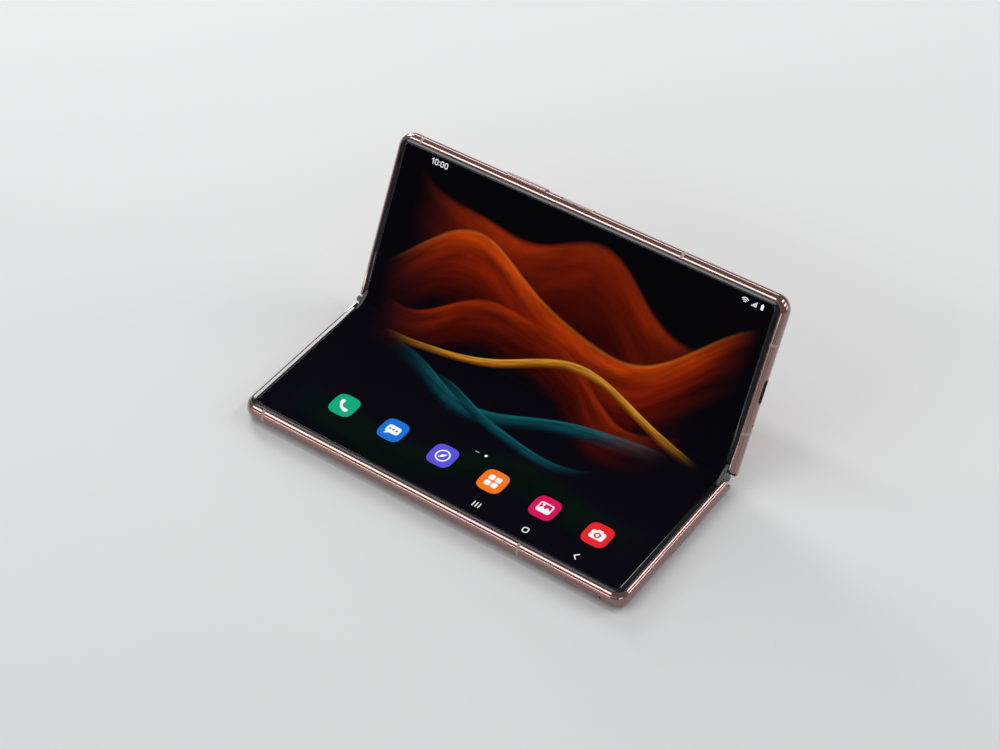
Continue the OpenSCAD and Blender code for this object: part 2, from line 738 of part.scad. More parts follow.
spine_screw_spots = [[2.5, 0], [4.3, 0]];
module fixed_bracket() difference() {
  union() {
    along_x(-module_half, module_half) spine_outline(bracket_r, base_top);
    both_sides() rail_block();
    along_x(plate1_x0, plate1_x1) spine_outline(bracket_r, bracket_top);
    along_x(plate2_x0, plate2_x1) spine_outline(bracket_r, bracket_top);
    along_x(stop_x0, -plate1_x0) spine_outline(bracket_r, bracket_top);
  }
  both_sides() {
    rail_groove();
    flange_room();
  }
  intersection() {
    shaft_holes();
    box(plate1_x0 - over, -plate1_x0 + over, -cover_r, cover_r, 0, half_t);
  }
  for (p = spine_screw_spots) translate([p[0], p[1], 0]) cylinder(r = screw_pass_r, h = 2 * half_t,
      center = true);
}
module hinge_fixed_brackets() color("#9b9ea3") place_spine() at_modules() fixed_bracket();

module spine_screws() color("#5d6066") place_spine() at_modules() for (p = spine_screw_spots)
  translate([p[0], p[1], half_t - base_top]) {
    cylinder(r = spine_head_r, h = spine_head_t);
    translate([0, 0, base_top - cover_r + lap]) cylinder(r = screw_r, h = cover_r - base_top);
  }

// Gear with rounded teeth, centred on the origin
gear_tip = 0.23;
gear_root = 0.3;
tooth_share = 0.40;
root_share = 0.30;
tip_share = 0.075;
module gear_outline(turn) {
  pitch_angle = 360 / gear_teeth;
  rotate(turn) union() {
    circle(gear_r - gear_root + 2 * eps);
    for (i = [0:gear_teeth - 1]) rotate(i * pitch_angle) polygon([
      (gear_r - gear_root) * [cos(pitch_angle * root_share), sin(pitch_angle * root_share)],
      gear_r * [cos(pitch_angle * tooth_share / 2), sin(pitch_angle * tooth_share / 2)],
      (gear_r + gear_tip) * [cos(pitch_angle * tip_share), sin(pitch_angle * tip_share)],
      (gear_r + gear_tip) * [cos(pitch_angle * tip_share), -sin(pitch_angle * tip_share)],
      gear_r * [cos(pitch_angle * tooth_share / 2), -sin(pitch_angle * tooth_share / 2)],
      (gear_r - gear_root) * [cos(pitch_angle * root_share), -sin(pitch_angle * root_share)], [0, 0]]);
  }
}

// One gear of the train, number 0 next to the lower half; neighbours turn opposite ways
module train_gear(n) translate([0, (2 * n - 3) * gear_r, half_t - gear_depth])
  along_x(gear_x0, gear_x1) gear_outline((n % 2 == 0 ? -fold_turn : fold_turn) + (n % 2) * 180 / gear_teeth);

shaft_in = 0.1;
module idler(n) {
  train_gear(n);
  translate([plate1_x0 + shaft_in, (2 * n - 3) * gear_r, half_t - gear_depth]) rotate([0, 90, 0])
    cylinder(r = idler_r, h = plate2_x1 - plate1_x0 - 2 * shaft_in);
}
module lower_idler_gears() color("#caa75a") place_spine() at_modules() idler(1);
module upper_idler_gears() color("#caa75a") place_spine() at_modules() idler(2);

// Shaft for the lower half's side; the crank is turned with the half
crank_wall = 0.05;
module crank_end() rotate([-fold_turn, 0, 0]) {
  translate([crank_x0, 0, 0]) rotate([0, 90, 0])
    cylinder(r = crank_throw + pin_r + crank_wall, h = crank_x1 - crank_x0);
  translate([flange_x0, -crank_throw, 0]) rotate([0, 90, 0]) cylinder(r = pin_r,
      h = crank_x0 - flange_x0 + eps);
}
cam_r = 1.2;
groove_deep = 0.35;
groove_half = 0.2;
module cam() difference() {
  translate([cam_x0, 0, 0]) rotate([0, 90, 0]) cylinder(r = cam_r, h = cam_x1 - cam_x0);
  for (a = [0, 90]) rotate([a, 0, 0])
    box(cam_x1 - groove_deep, cam_x1 + over, -groove_half, groove_half, -2 * cam_r, 2 * cam_r);
}
module gear_shaft() {
  translate([0, -shaft_y, half_t - gear_depth]) {
    crank_end();
    cam();
    translate([crank_x1 - eps, 0, 0]) rotate([0, 90, 0])
      cylinder(r = shaft_r, h = -plate1_x0 - crank_x1 - shaft_in);
  }
  train_gear(0);
}
module upper_gear_shaft() {
  translate([0, shaft_y, half_t - gear_depth]) {
    rotate([0, 0, 180]) crank_end();
    cam();
    translate([plate1_x0 + shaft_in, 0, 0]) rotate([0, 90, 0])
      cylinder(r = shaft_r, h = -crank_x1 - plate1_x0 - shaft_in + eps);
  }
  train_gear(3);
}
module lower_gear_shafts() color("#8f9298") place_spine() at_modules() gear_shaft();
module upper_gear_shafts() color("#8f9298") place_spine() at_modules() upper_gear_shaft();

// Follower plate that bears on both cams and can't turn
cam_play = 0.03;
follower_h = 2.3;
follower_x0 = cam_x1 + cam_play;
module cam_followers() color("#a58d5a") place_spine() at_modules() difference() {
  along_x(follower_x0, follower_x0 + follower_t) intersection() {
    spine_outline(bracket_r - lap, bracket_top);
    translate([-2 * cover_r, half_t - gear_depth - follower_h / 2]) square([4 * cover_r, follower_h]);
  }
  shaft_holes();
}

// Compression springs that press the follower on the cams
spring_wire = 0.3;
spring_r = 0.95;
spring_turns = 6;
spring_steps = 12;
spring_play = 0.02;
function spring_point(i, from, len, r) = let (a = 360 * i / spring_steps)
  [from + len * i / (spring_steps * spring_turns), r * cos(a), r * sin(a)];
module coil_spring(from, len) {
  n = spring_steps * spring_turns;
  ring = 6;
  tilt = atan2(len, 2 * PI * spring_r * spring_turns);
  points = [for (i = [0:n]) let (a = 360 * i / spring_steps, c = spring_point(i, from, len, spring_r))
    for (k = [0:ring - 1]) let (b = 360 * k / ring, out = spring_wire / 2 * cos(b),
        up = spring_wire / 2 * sin(b))
      c + out * [0, cos(a), sin(a)] + up * [cos(tilt), sin(a) * sin(tilt), -cos(a) * sin(tilt)]];
  sides = [for (i = [0:n - 1]) for (k = [0:ring - 1]) let (a = i * ring + k, b = i * ring + (k + 1) % ring)
    [a, b, b + ring, a + ring]];
  polyhedron(points = points, faces = concat(sides, [[for (k = [0:ring - 1]) ring - 1 - k]],
    [[for (k = [0:ring - 1]) n * ring + k]]));
}
module torque_springs() color("#b9bcc0") place_spine() at_modules() for (s = [-1, 1])
  translate([0, s * shaft_y, half_t - gear_depth])
    coil_spring(follower_x0 + follower_t + spring_wire / 2 + spring_play,
                stop_x0 - follower_x0 - follower_t - spring_wire - 2 * spring_play);

// Flat cables across the hinge, with their tails on the boards' connectors
flex_arc_r = 9;
module hinge_flexes() color("#b36a2c") translate([0, rest_shift, 0]) for (x = flex_x)
  along_x(x - flex_w / 2, x + flex_w / 2) bent_strip(flex_depth - flex_t, flex_t, flex_tail, flex_arc_r);

// ---------------------------------------------------------------- insides of the lower half
connector_v0 = 9.5;
module flex_connectors() for (x = flex_x)
  box(x - flex_w / 2 + flex_room, x + flex_w / 2 - flex_room, connector_v0, flex_tail, board_z1 - eps,
      half_t - flex_depth);

battery_z0 = glass_t + cover_panel_t + panel_gap;
module lower_battery() color("#2c2f33") place_lower()
  box(lower_battery_x0, battery_x1, battery_v0, battery_v1, battery_z0, web_z0);

// Room around the lug seats for the boards
module seat_room(side) at_modules() scale_x(side)
  box(rail_x0 - seat_clear, lug_x1 + seat_clear, 0, lug_v1 + seat_clear, 0, half_t);
seat_clear = seat_wall + panel_gap;

flex_margin = 1;
flex_end_x = flex_x[1] + flex_w / 2 + flex_margin;
module lower_board() color("#1f4f3a") place_lower() {
  difference() {
    union() {
      box(lower_board_x0, flex_end_x, board_v0, board_v1, board_z0, board_z1);
      box(lower_board_x0, lower_board_x1, board_v0, lower_board_v1, board_z0, board_z1);
    }
    seat_room(lower_side);
  }
  flex_connectors();
}
shield_inset = 5;
shield_gap = 3;
shield_start = 12;
shield_l = 15;
shield_v = [battery_v0, (battery_v0 + lower_board_v1 - shield_inset) / 2];
module lower_board_shields() color("#b8bbc0") place_lower() for (v = shield_v)
  box(lower_board_x0 + shield_start, lower_board_x0 + shield_start + shield_l, v,
      v + shield_v[1] - shield_v[0] - shield_gap,
      board_z0 - shield_t, board_z0);

speaker_w = 7.2;
speaker_gap = 0.2;
cone_r = 2.4;
cone_deep = 0.6;
camera_box = 5.6;
top_speaker_gap = 3.15;
top_speaker_v0 = inner_cam_v + camera_box / 2 + top_speaker_gap;
module top_speaker() color("#26282b") place_lower() {
  x0 = -half_l + wall + speaker_gap;
  difference() {
    box(x0, x0 + speaker_w, top_speaker_v0, battery_v1, battery_z0, board_z0 - fit_gap);
    translate([x0 + speaker_w / 2, (top_speaker_v0 + battery_v1) / 2, battery_z0 - over])
      cylinder(r = cone_r, h = over + cone_deep);
  }
}
horn_deep = 1.5;
horn_edge = 0.8;
mesh_t = 0.4;
mesh_edge = 1.2;
mesh_rise = 0.5;
mesh_h = 1.6;
mesh_z0 = battery_z0 + mesh_rise;
module bottom_speaker() color("#26282b") place_lower() difference() {
  box(end_room_x, half_l - wall - mesh_t - fit_gap, board_v1 + fit_gap, reader_v0 - room_gap, battery_z0,
      web_z0);
  box(half_l - wall - mesh_t - horn_deep, half_l, speaker_v0 - horn_edge, speaker_v1 + horn_edge, mesh_z0,
      mesh_z0 + mesh_h);
}
module speaker_mesh() color("#3b3b3d") place_lower()
  box(half_l - wall - mesh_t, half_l - wall, speaker_v0 - mesh_edge, speaker_v1 + mesh_edge, mesh_z0,
      mesh_z0 + mesh_h);

module cover_camera() color("#1b1c20") place_lower() {
  translate([-cover_cam_x, inner_cam_v, glass_t]) cylinder(r = cover_cam_r - fit_gap, h = battery_z0);
  box(-cover_cam_x - camera_box / 2, -cover_cam_x + camera_box / 2, inner_cam_v - camera_box / 2,
      inner_cam_v + camera_box / 2, battery_z0, board_z0);
}

// Card reader cage, open towards the free edge, and its tray
cage_wall = 0.25;
reader_wall = 0.4;
reader_play = 0.2;
reader_front = 0.05;
tray_face_gap = 0.1;
card_play = 0.1;
card_rim = 0.8;
card_floor = 0.2;
reader_w = tray_w + 2 * reader_play;
module card_reader() color("#b8bbc0") place_lower() difference() {
  box(tray_x - reader_w / 2 - reader_wall, tray_x + reader_w / 2 + reader_wall, reader_v0,
      half_w - wall - reader_front,
      tray_z - carrier_h / 2 - 2 * cage_wall, web_z0);
  box(tray_x - reader_w / 2, tray_x + reader_w / 2, reader_v0 + reader_wall, half_w,
      tray_z - carrier_h / 2 - cage_wall, tray_z + carrier_h / 2 + cage_wall);
}
module card_tray() color("#b5836f") place_lower() difference() {
  union() {
    intersection() {
      rounded_half();
      box(tray_x - tray_w / 2, tray_x + tray_w / 2, half_w - wall + tray_face_gap, half_w + over,
          tray_z - tray_h / 2, tray_z + tray_h / 2);
    }
    box(tray_x - tray_w / 2 + reader_play, tray_x + tray_w / 2 - reader_play, half_w - tray_l,
        half_w - wall + tray_face_gap + eps, tray_z - carrier_h / 2, tray_z + carrier_h / 2);
  }
  box(card_x0 - card_play, card_x0 + card_w + card_play, card_v0 - card_play, card_v0 + card_l + card_play,
      tray_z - card_floor, tray_z + carrier_h);
  box(card_x0 + card_rim, card_x0 + card_w - card_rim, card_v0 + card_rim, card_v0 + card_l - card_rim, 0,
      half_t);
}
card_w = 8.8;
card_l = 12.3;
card_t = 0.67;
card_x0 = tray_x - card_w / 2;
card_end = 1.4;
card_v0 = half_w - tray_l + card_end;
card_corner = 2.3;
module nano_card() color("#d8b25a") place_lower() difference() {
  box(card_x0, card_x0 + card_w, card_v0, card_v0 + card_l, tray_z - card_floor,
      tray_z - card_floor + card_t);
  translate([card_x0, card_v0, 0]) rotate([0, 0, 45]) cube([card_corner, card_corner, 2 * half_t],
      center = true);
}

// ---------------------------------------------------------------- insides of the upper half
upper_battery_z0 = 1.5;
module upper_battery() color("#2c2f33") place_upper()
  box(upper_battery_x0, battery_x1, battery_v0, battery_v1, upper_battery_z0, web_z0);

module main_board() color("#1f4f3a") place_upper() {
  difference() {
    union() {
      box(main_board_x0, flex_end_x, board_v0, board_v1, board_z0, board_z1);
      box(main_board_x0, main_board_x1, board_v0, main_board_v1, board_z0, board_z1);
    }
    seat_room(upper_side);
  }
  flex_connectors();
}
main_shield_w = 16.5;
main_shield_x = [main_board_x0 + shield_gap, main_board_x1 - shield_gap - main_shield_w];
module main_board_shields() color("#b8bbc0") place_upper() for (x = main_shield_x)
  box(x, x + main_shield_w, board_v1, main_board_v1 - shield_gap - battery_gap, board_z0 - shield_t,
      board_z0);

module port_board() color("#1f4f3a") place_upper()
  box(end_room_x, port_back - fit_gap, board_v1, port_board_v1, board_z0, board_z1);

// Charging coil on its ferrite disc, against the battery
coil_width = 7.5;
coil_t = 0.25;
ferrite_t = 0.2;
ferrite_r = (battery_v1 - battery_v0) / 2 - battery_gap;
coil_r1 = ferrite_r - battery_gap;
coil_x = (upper_battery_x0 + battery_x1) / 2;
coil_v = (battery_v0 + battery_v1) / 2;
module charging_coil() color("#b8672f") place_upper() {
  translate([coil_x, coil_v, upper_battery_z0 - ferrite_t - coil_t]) difference() {
    cylinder(r = coil_r1, h = coil_t + eps);
    translate([0, 0, -over]) cylinder(r = coil_r1 - coil_width, h = 2 * over);
  }
  translate([coil_x, coil_v, upper_battery_z0 - ferrite_t]) cylinder(r = ferrite_r, h = ferrite_t);
}

// Charging port: pill-shaped shell with a tongue, open at the end face
module port_outline_bar(gap, x0, x1) translate([x0, port_v, mid_z]) rotate([90, 0,
    90]) linear_extrude(x1 - x0)
  pill(port_w + 2 * port_wall + 2 * gap, port_h + 2 * port_wall + 2 * gap);
port_back = port_front - port_depth - 2 * port_wall;
tongue_w = 6.69;
tongue_t = 0.7;
tongue_in = 1;
module charging_port() color("#7b7d82") place_upper() {
  difference() {
    port_outline_bar(0, port_back, port_front);
    port_outline_bar(-port_wall, port_front - port_depth, port_front + over);
  }
  box(port_front - port_depth - eps, port_front - tongue_in, port_v - tongue_w / 2, port_v + tongue_w / 2,
      mid_z - tongue_t / 2, mid_z + tongue_t / 2);
}

motor_l = 14;
motor_inset = 2;
module vibration_motor() color("#a6a9ad") place_upper()
  box(end_room_x + motor_inset, end_room_x + motor_inset + motor_l, port_board_v1 + shield_gap,
      battery_v1 - motor_inset,
      upper_battery_z0, web_z0);

module inner_camera() color("#1b1c20") place_upper() {
  translate([-inner_cam_x, inner_cam_v, board_z0]) cylinder(r = inner_cam_r,
      h = support_top - fit_gap / 4 - board_z0);
  box(-inner_cam_x - camera_box / 2, -inner_cam_x + camera_box / 2, inner_cam_v - camera_box / 2,
      inner_cam_v + camera_box / 2, board_z0 - shield_t, board_z1);
}

ring_seat = 0.4;
island_seat = 0.3;
ring_proud = 0.3;
lens_glass_t = 0.5;
flash_t = 0.8;
lens_gap = 0.05;
module camera_island() color("#b08472") place_upper() difference() {
  translate([island_x, island_v, -island_proud]) linear_extrude(island_proud + glass_t + island_seat)
    pill(island_l, island_w);
  for (x = lens_x) translate([x, island_v, -island_proud - over]) {
    cylinder(r = lens_r + lens_gap, h = half_t);
    cylinder(r = ring_r + lens_gap, h = over + ring_seat);
  }
  translate([flash_x, island_v, -island_proud - over]) cylinder(r = flash_r + lens_gap, h = over + flash_t);
}
module lens_rings() color("#d8b3a2") place_upper() for (x = lens_x)
  translate([x, island_v, -island_proud - ring_proud]) difference() {
    cylinder(r = ring_r, h = ring_seat + ring_proud);
    translate([0, 0, -over]) cylinder(r = lens_r + lens_gap, h = 2 * over + ring_seat + ring_proud);
  }
module lens_glasses() color("#0a0b0f") place_upper() for (x = lens_x)
  translate([x, island_v, -island_proud]) cylinder(r = lens_r, h = lens_glass_t);
module flash_lens() color("#f2ead0") place_upper()
  translate([flash_x, island_v, -island_proud]) cylinder(r = flash_r, h = flash_t);
module camera_modules() color("#222328") place_upper() for (x = lens_x) {
  translate([x, island_v, -island_proud + lens_glass_t + eps])
    cylinder(r = lens_r - 3 * fit_gap, h = island_proud + glass_t);
  box(x - module_w / 2, x + module_w / 2, island_v - module_w / 2, island_v + module_w / 2,
      glass_t + island_seat + fit_gap, web_z0);
}

// ---------------------------------------------------------------- keys
flange_gap = 0.3;
key_flange_t = 0.4;
key_flange_x = 0.6;
key_flange_z = 0.4;
nub_r = 0.7;
nub_l = 0.6;
nub_gap = 0.3;
switch_l = 3;
switch_t = 0.3;
switch_h = 2.4;
strip_t = 0.15;
strip_drop = 1.3;
key_in = half_w - wall - flange_gap;
switch_v = key_in - key_flange_t - nub_l - nub_gap;
module key_body(x, l, h, v_out) {
  edge_pill(x, l, h, key_in - eps, v_out);
  edge_pill(x, l + 2 * key_flange_x, h + 2 * key_flange_z, key_in - key_flange_t, key_in);
}
module nub(x) translate([x, key_in - key_flange_t + eps, mid_z]) rotate([90, 0, 0]) cylinder(r = nub_r,
    h = nub_l);
module volume_rocker() color("#b5836f") place_upper() {
  key_body(rocker_x, rocker_l, rocker_h, half_w + rocker_proud);
  for (s = [-1, 1]) nub(rocker_x + s * rocker_l / 3);
}
module side_key() color("#a87866") place_upper() {
  key_body(key_x, key_l, key_h, half_w - key_sunk);
  nub(key_x);
}
module key_switches() color("#c7a24c") place_upper() {
  box(rocker_x - rocker_l / 2, key_x + key_l / 2, switch_v - switch_t - strip_t, switch_v - switch_t,
      mid_z - strip_drop, web_z0);
  for (x = [rocker_x - rocker_l / 3, rocker_x + rocker_l / 3, key_x])
    box(x - switch_l / 2, x + switch_l / 2, switch_v - switch_t - eps, switch_v, mid_z - switch_h / 2,
        mid_z + switch_h / 2);
}

lower_frame();
cover_display_glass();
cover_display_panel();
lower_battery();
lower_board();
lower_board_shields();
top_speaker();
bottom_speaker();
speaker_mesh();
cover_camera();
lower_bezel();
lower_display_support();
display_lower();
lower_antenna_bands();
lower_hinge_brackets();
lower_hinge_screws();
lower_sweeper();
card_reader();
card_tray();
nano_card();
upper_frame();
rear_glass();
camera_island();
lens_rings();
lens_glasses();
flash_lens();
camera_modules();
upper_battery();
main_board();
main_board_shields();
port_board();
charging_coil();
charging_port();
vibration_motor();
inner_camera();
upper_bezel();
upper_bumpers();
upper_display_support();
display_upper();
upper_antenna_bands();
upper_hinge_brackets();
upper_hinge_screws();
upper_sweeper();
key_switches();
volume_rocker();
side_key();
spine_cover();
spine_end_caps();
hinge_fixed_brackets();
spine_screws();
torque_springs();
cam_followers();
display_fold();
hinge_flexes();
lower_gear_shafts();
lower_idler_gears();
upper_idler_gears();
upper_gear_shafts();
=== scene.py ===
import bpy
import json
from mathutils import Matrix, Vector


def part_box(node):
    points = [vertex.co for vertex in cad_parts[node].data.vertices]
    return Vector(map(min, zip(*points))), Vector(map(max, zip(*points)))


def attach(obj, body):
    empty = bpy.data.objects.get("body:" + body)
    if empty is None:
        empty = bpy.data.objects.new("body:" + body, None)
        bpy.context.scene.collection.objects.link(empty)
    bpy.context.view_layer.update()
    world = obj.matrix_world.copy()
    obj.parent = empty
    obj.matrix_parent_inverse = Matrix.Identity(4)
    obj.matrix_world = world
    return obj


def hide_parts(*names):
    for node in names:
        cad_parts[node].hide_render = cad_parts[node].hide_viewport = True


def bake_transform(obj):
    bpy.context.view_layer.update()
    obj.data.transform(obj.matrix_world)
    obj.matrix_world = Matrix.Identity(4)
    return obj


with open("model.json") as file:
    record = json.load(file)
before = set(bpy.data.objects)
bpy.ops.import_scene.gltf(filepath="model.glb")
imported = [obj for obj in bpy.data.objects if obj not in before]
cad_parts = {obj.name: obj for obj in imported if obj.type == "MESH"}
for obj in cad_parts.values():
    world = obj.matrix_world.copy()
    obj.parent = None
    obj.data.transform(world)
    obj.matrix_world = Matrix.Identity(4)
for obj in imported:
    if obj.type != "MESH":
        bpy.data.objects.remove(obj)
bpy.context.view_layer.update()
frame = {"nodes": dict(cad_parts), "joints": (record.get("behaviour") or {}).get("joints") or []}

import json
from math import asin, atan2, copysign, cos, degrees, hypot, radians, sin, sqrt, tan

import bmesh
import bpy
from mathutils import Matrix, Vector

# ------------------------ sizes, in mm, and places
MM = 0.001
joints = {j["name"]: j for j in frame["joints"]}
A = Vector(joints["spine_fold"]["pos_m"]) / MM
B = Vector(joints["upper_fold"]["pos_m"]) / MM
OFF = (B - A).length / 2                      # from the fold line to each turning axis
PHI = atan2(B.z - A.z, B.y - A.y)             # the spine's turn against each half
T = A.z                                       # thickness of one half
MID = T / 2
REST = A.y + OFF                              # where the fold line lies along Y
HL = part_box("lower_frame")[1].x / MM          # half the length
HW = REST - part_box("lower_frame")[0].y / MM   # width of one half
CORNER = 5.5                                  # radius of a half's corners in plan
COS1, SIN1 = cos(PHI), sin(PHI)
COS2, SIN2 = cos(2 * PHI), sin(2 * PHI)
FLIP = Vector((COS1, SIN1))                   # across the bend's middle plane, in (y, z)


def lower(x, v, z):
    """A point of the lower half: x along the hinge, v from the fold line, z from the outer face."""
    return Vector((x, REST - v, z)) * MM


def upper(x, v, z):
    y, h = v - OFF, z - T
    return Vector((x, B.y + y * COS2 - h * SIN2, B.z + y * SIN2 + h * COS2)) * MM


def spine(x, y, z):
    """A point of the spine: y across it from its middle, z as in a half."""
    y, h = y + OFF, z - T
    return Vector((x, A.y + y * COS1 - h * SIN1, A.z + y * SIN1 + h * COS1)) * MM


def bent(x, y, z):
    """A point of a bending part as stored: y from the fold line, level with the lower half."""
    return Vector((x, y + REST, z)) * MM


PLACE = {"lower_half": lower, "upper_half": upper, "spine": spine,
         "volume_rocker": upper, "side_key": upper, "card_tray": lower}


# ------------------------ materials
class Graph:
    """The nodes of one material. Each call but `node` and `put` returns an output socket."""

    def __init__(self, name):
        self.mat = bpy.data.materials.new(name)
        self.mat.use_nodes = True
        self.tree = self.mat.node_tree
        self.tree.nodes.clear()
        self.out = self.tree.nodes.new("ShaderNodeOutputMaterial")

    def node(self, kind, **settings):
        n = self.tree.nodes.new(kind)
        for k, v in settings.items():
            setattr(n, k, v)
        return n

    def put(self, socket, value):
        if isinstance(value, bpy.types.NodeSocket):
            self.tree.links.new(value, socket)
        else:
            socket.default_value = value

    def fill(self, n, **values):
        """Sets a node's named inputs; an underscore stands for a space."""
        for key, value in values.items():
            self.put(n.inputs[key.replace("_", " ")], value)
        return n

    def math(self, op, a, b=0.0):
        n = self.node("ShaderNodeMath", operation=op)
        self.put(n.inputs[0], a)
        self.put(n.inputs[1], b)
        return n.outputs[0]

    def plus(self, a, b):
        return self.math("ADD", a, b)

    def times(self, a, b):
        return self.math("MULTIPLY", a, b)

    def remap(self, value, lo, hi, to_lo, to_hi, kind="LINEAR"):
        n = self.node("ShaderNodeMapRange", interpolation_type=kind)
        self.fill(n, Value=value, From_Min=lo, From_Max=hi, To_Min=to_lo, To_Max=to_hi)
        return n.outputs["Result"]

    def smooth(self, value, lo, hi):
        """0 below lo, 1 above hi, and smooth between; lo above hi turns it round."""
        return self.remap(value, lo, hi, 0.0, 1.0, "SMOOTHSTEP")

    def mix(self, fac, a, b, blend="MIX"):
        n = self.node("ShaderNodeMix", data_type="RGBA", blend_type=blend)
        for socket, value in ((0, fac), (6, a), (7, b)):    # factor and two colours
            self.put(n.inputs[socket], value)
        return n.outputs[2]

    def ramp(self, fac, stops):
        n = self.node("ShaderNodeValToRGB")
        n.color_ramp.interpolation = "EASE"
        while len(n.color_ramp.elements) < len(stops):
            n.color_ramp.elements.new(0.5)
        for e, (at, colour) in zip(n.color_ramp.elements, stops):
            e.position, e.color = at, (*colour, 1)
        return self.fill(n, Fac=fac).outputs["Color"]

    def coords(self, scale=(1, 1, 1)):
        n = self.node("ShaderNodeTexCoord")
        m = self.node("ShaderNodeMapping")
        return self.fill(m, Vector=n.outputs["Object"], Scale=scale).outputs["Vector"]

    def noise(self, vector, scale, detail=3.0, rough=0.5):
        n = self.node("ShaderNodeTexNoise")
        self.fill(n, Vector=vector, Scale=scale, Detail=detail, Roughness=rough)
        return n.outputs["Fac"]

    def bump(self, height, strength):
        n = self.node("ShaderNodeBump")
        return self.fill(n, Height=height, Strength=strength, Distance=0.1 * MM).outputs["Normal"]

    def surface(self, **inputs):
        n = self.fill(self.node("ShaderNodeBsdfPrincipled"), **inputs)
        self.put(self.out.inputs["Surface"], n.outputs[0])
        return self.mat


def rgb(r, g, b):
    return (r, g, b, 1.0)


def shade(colour, by):
    return (*[min(1.0, c * by) for c in colour], 1.0)


def finish_of(name, colour, metallic, rough, level=0.5, grain=900.0, shift=0.08, bump=0.02,
              stretch=(1, 1, 1), coat=0.0, vary=0.06):
    """A general surface: fine grain in the bump and roughness, and slow clouds in the colour."""
    g = Graph(name)
    fine = g.noise(g.coords(stretch), grain, 4.0, 0.6)
    clouds = g.noise(g.coords(), 60.0)
    c = g.mix(clouds, shade(colour, 1 - shift), shade(colour, 1 + shift))
    c = g.mix(g.remap(fine, 0.35, 0.65, 0.0, 0.35), c, shade(colour, 1 - 1.6 * shift))
    return g.surface(
        Base_Color=c, Metallic=metallic, Specular_IOR_Level=level, Coat_Weight=coat,
        Coat_Roughness=0.08, Normal=g.bump(fine, bump),
        Roughness=g.remap(fine, 0.3, 0.7, max(0.02, rough - vary), rough + vary))


def glow(name, colour, shift=0.12):
    """A lit mark on the screen, a little uneven like a real panel."""
    g = Graph(name)
    grid = g.noise(g.coords(), 1400.0, 2.0)
    slow = g.noise(g.coords(), 90.0, 1.0)
    c = g.mix(slow, shade(colour, 1 - shift), shade(colour, 1 + shift))
    c = g.mix(g.remap(grid, 0.3, 0.7, 0.0, 0.15), c, shade(colour, 1 - shift))
    return g.surface(Base_Color=rgb(0.002, 0.002, 0.002), Roughness=0.4, Specular_IOR_Level=0.0,
                     Emission_Color=c, Emission_Strength=1.0)


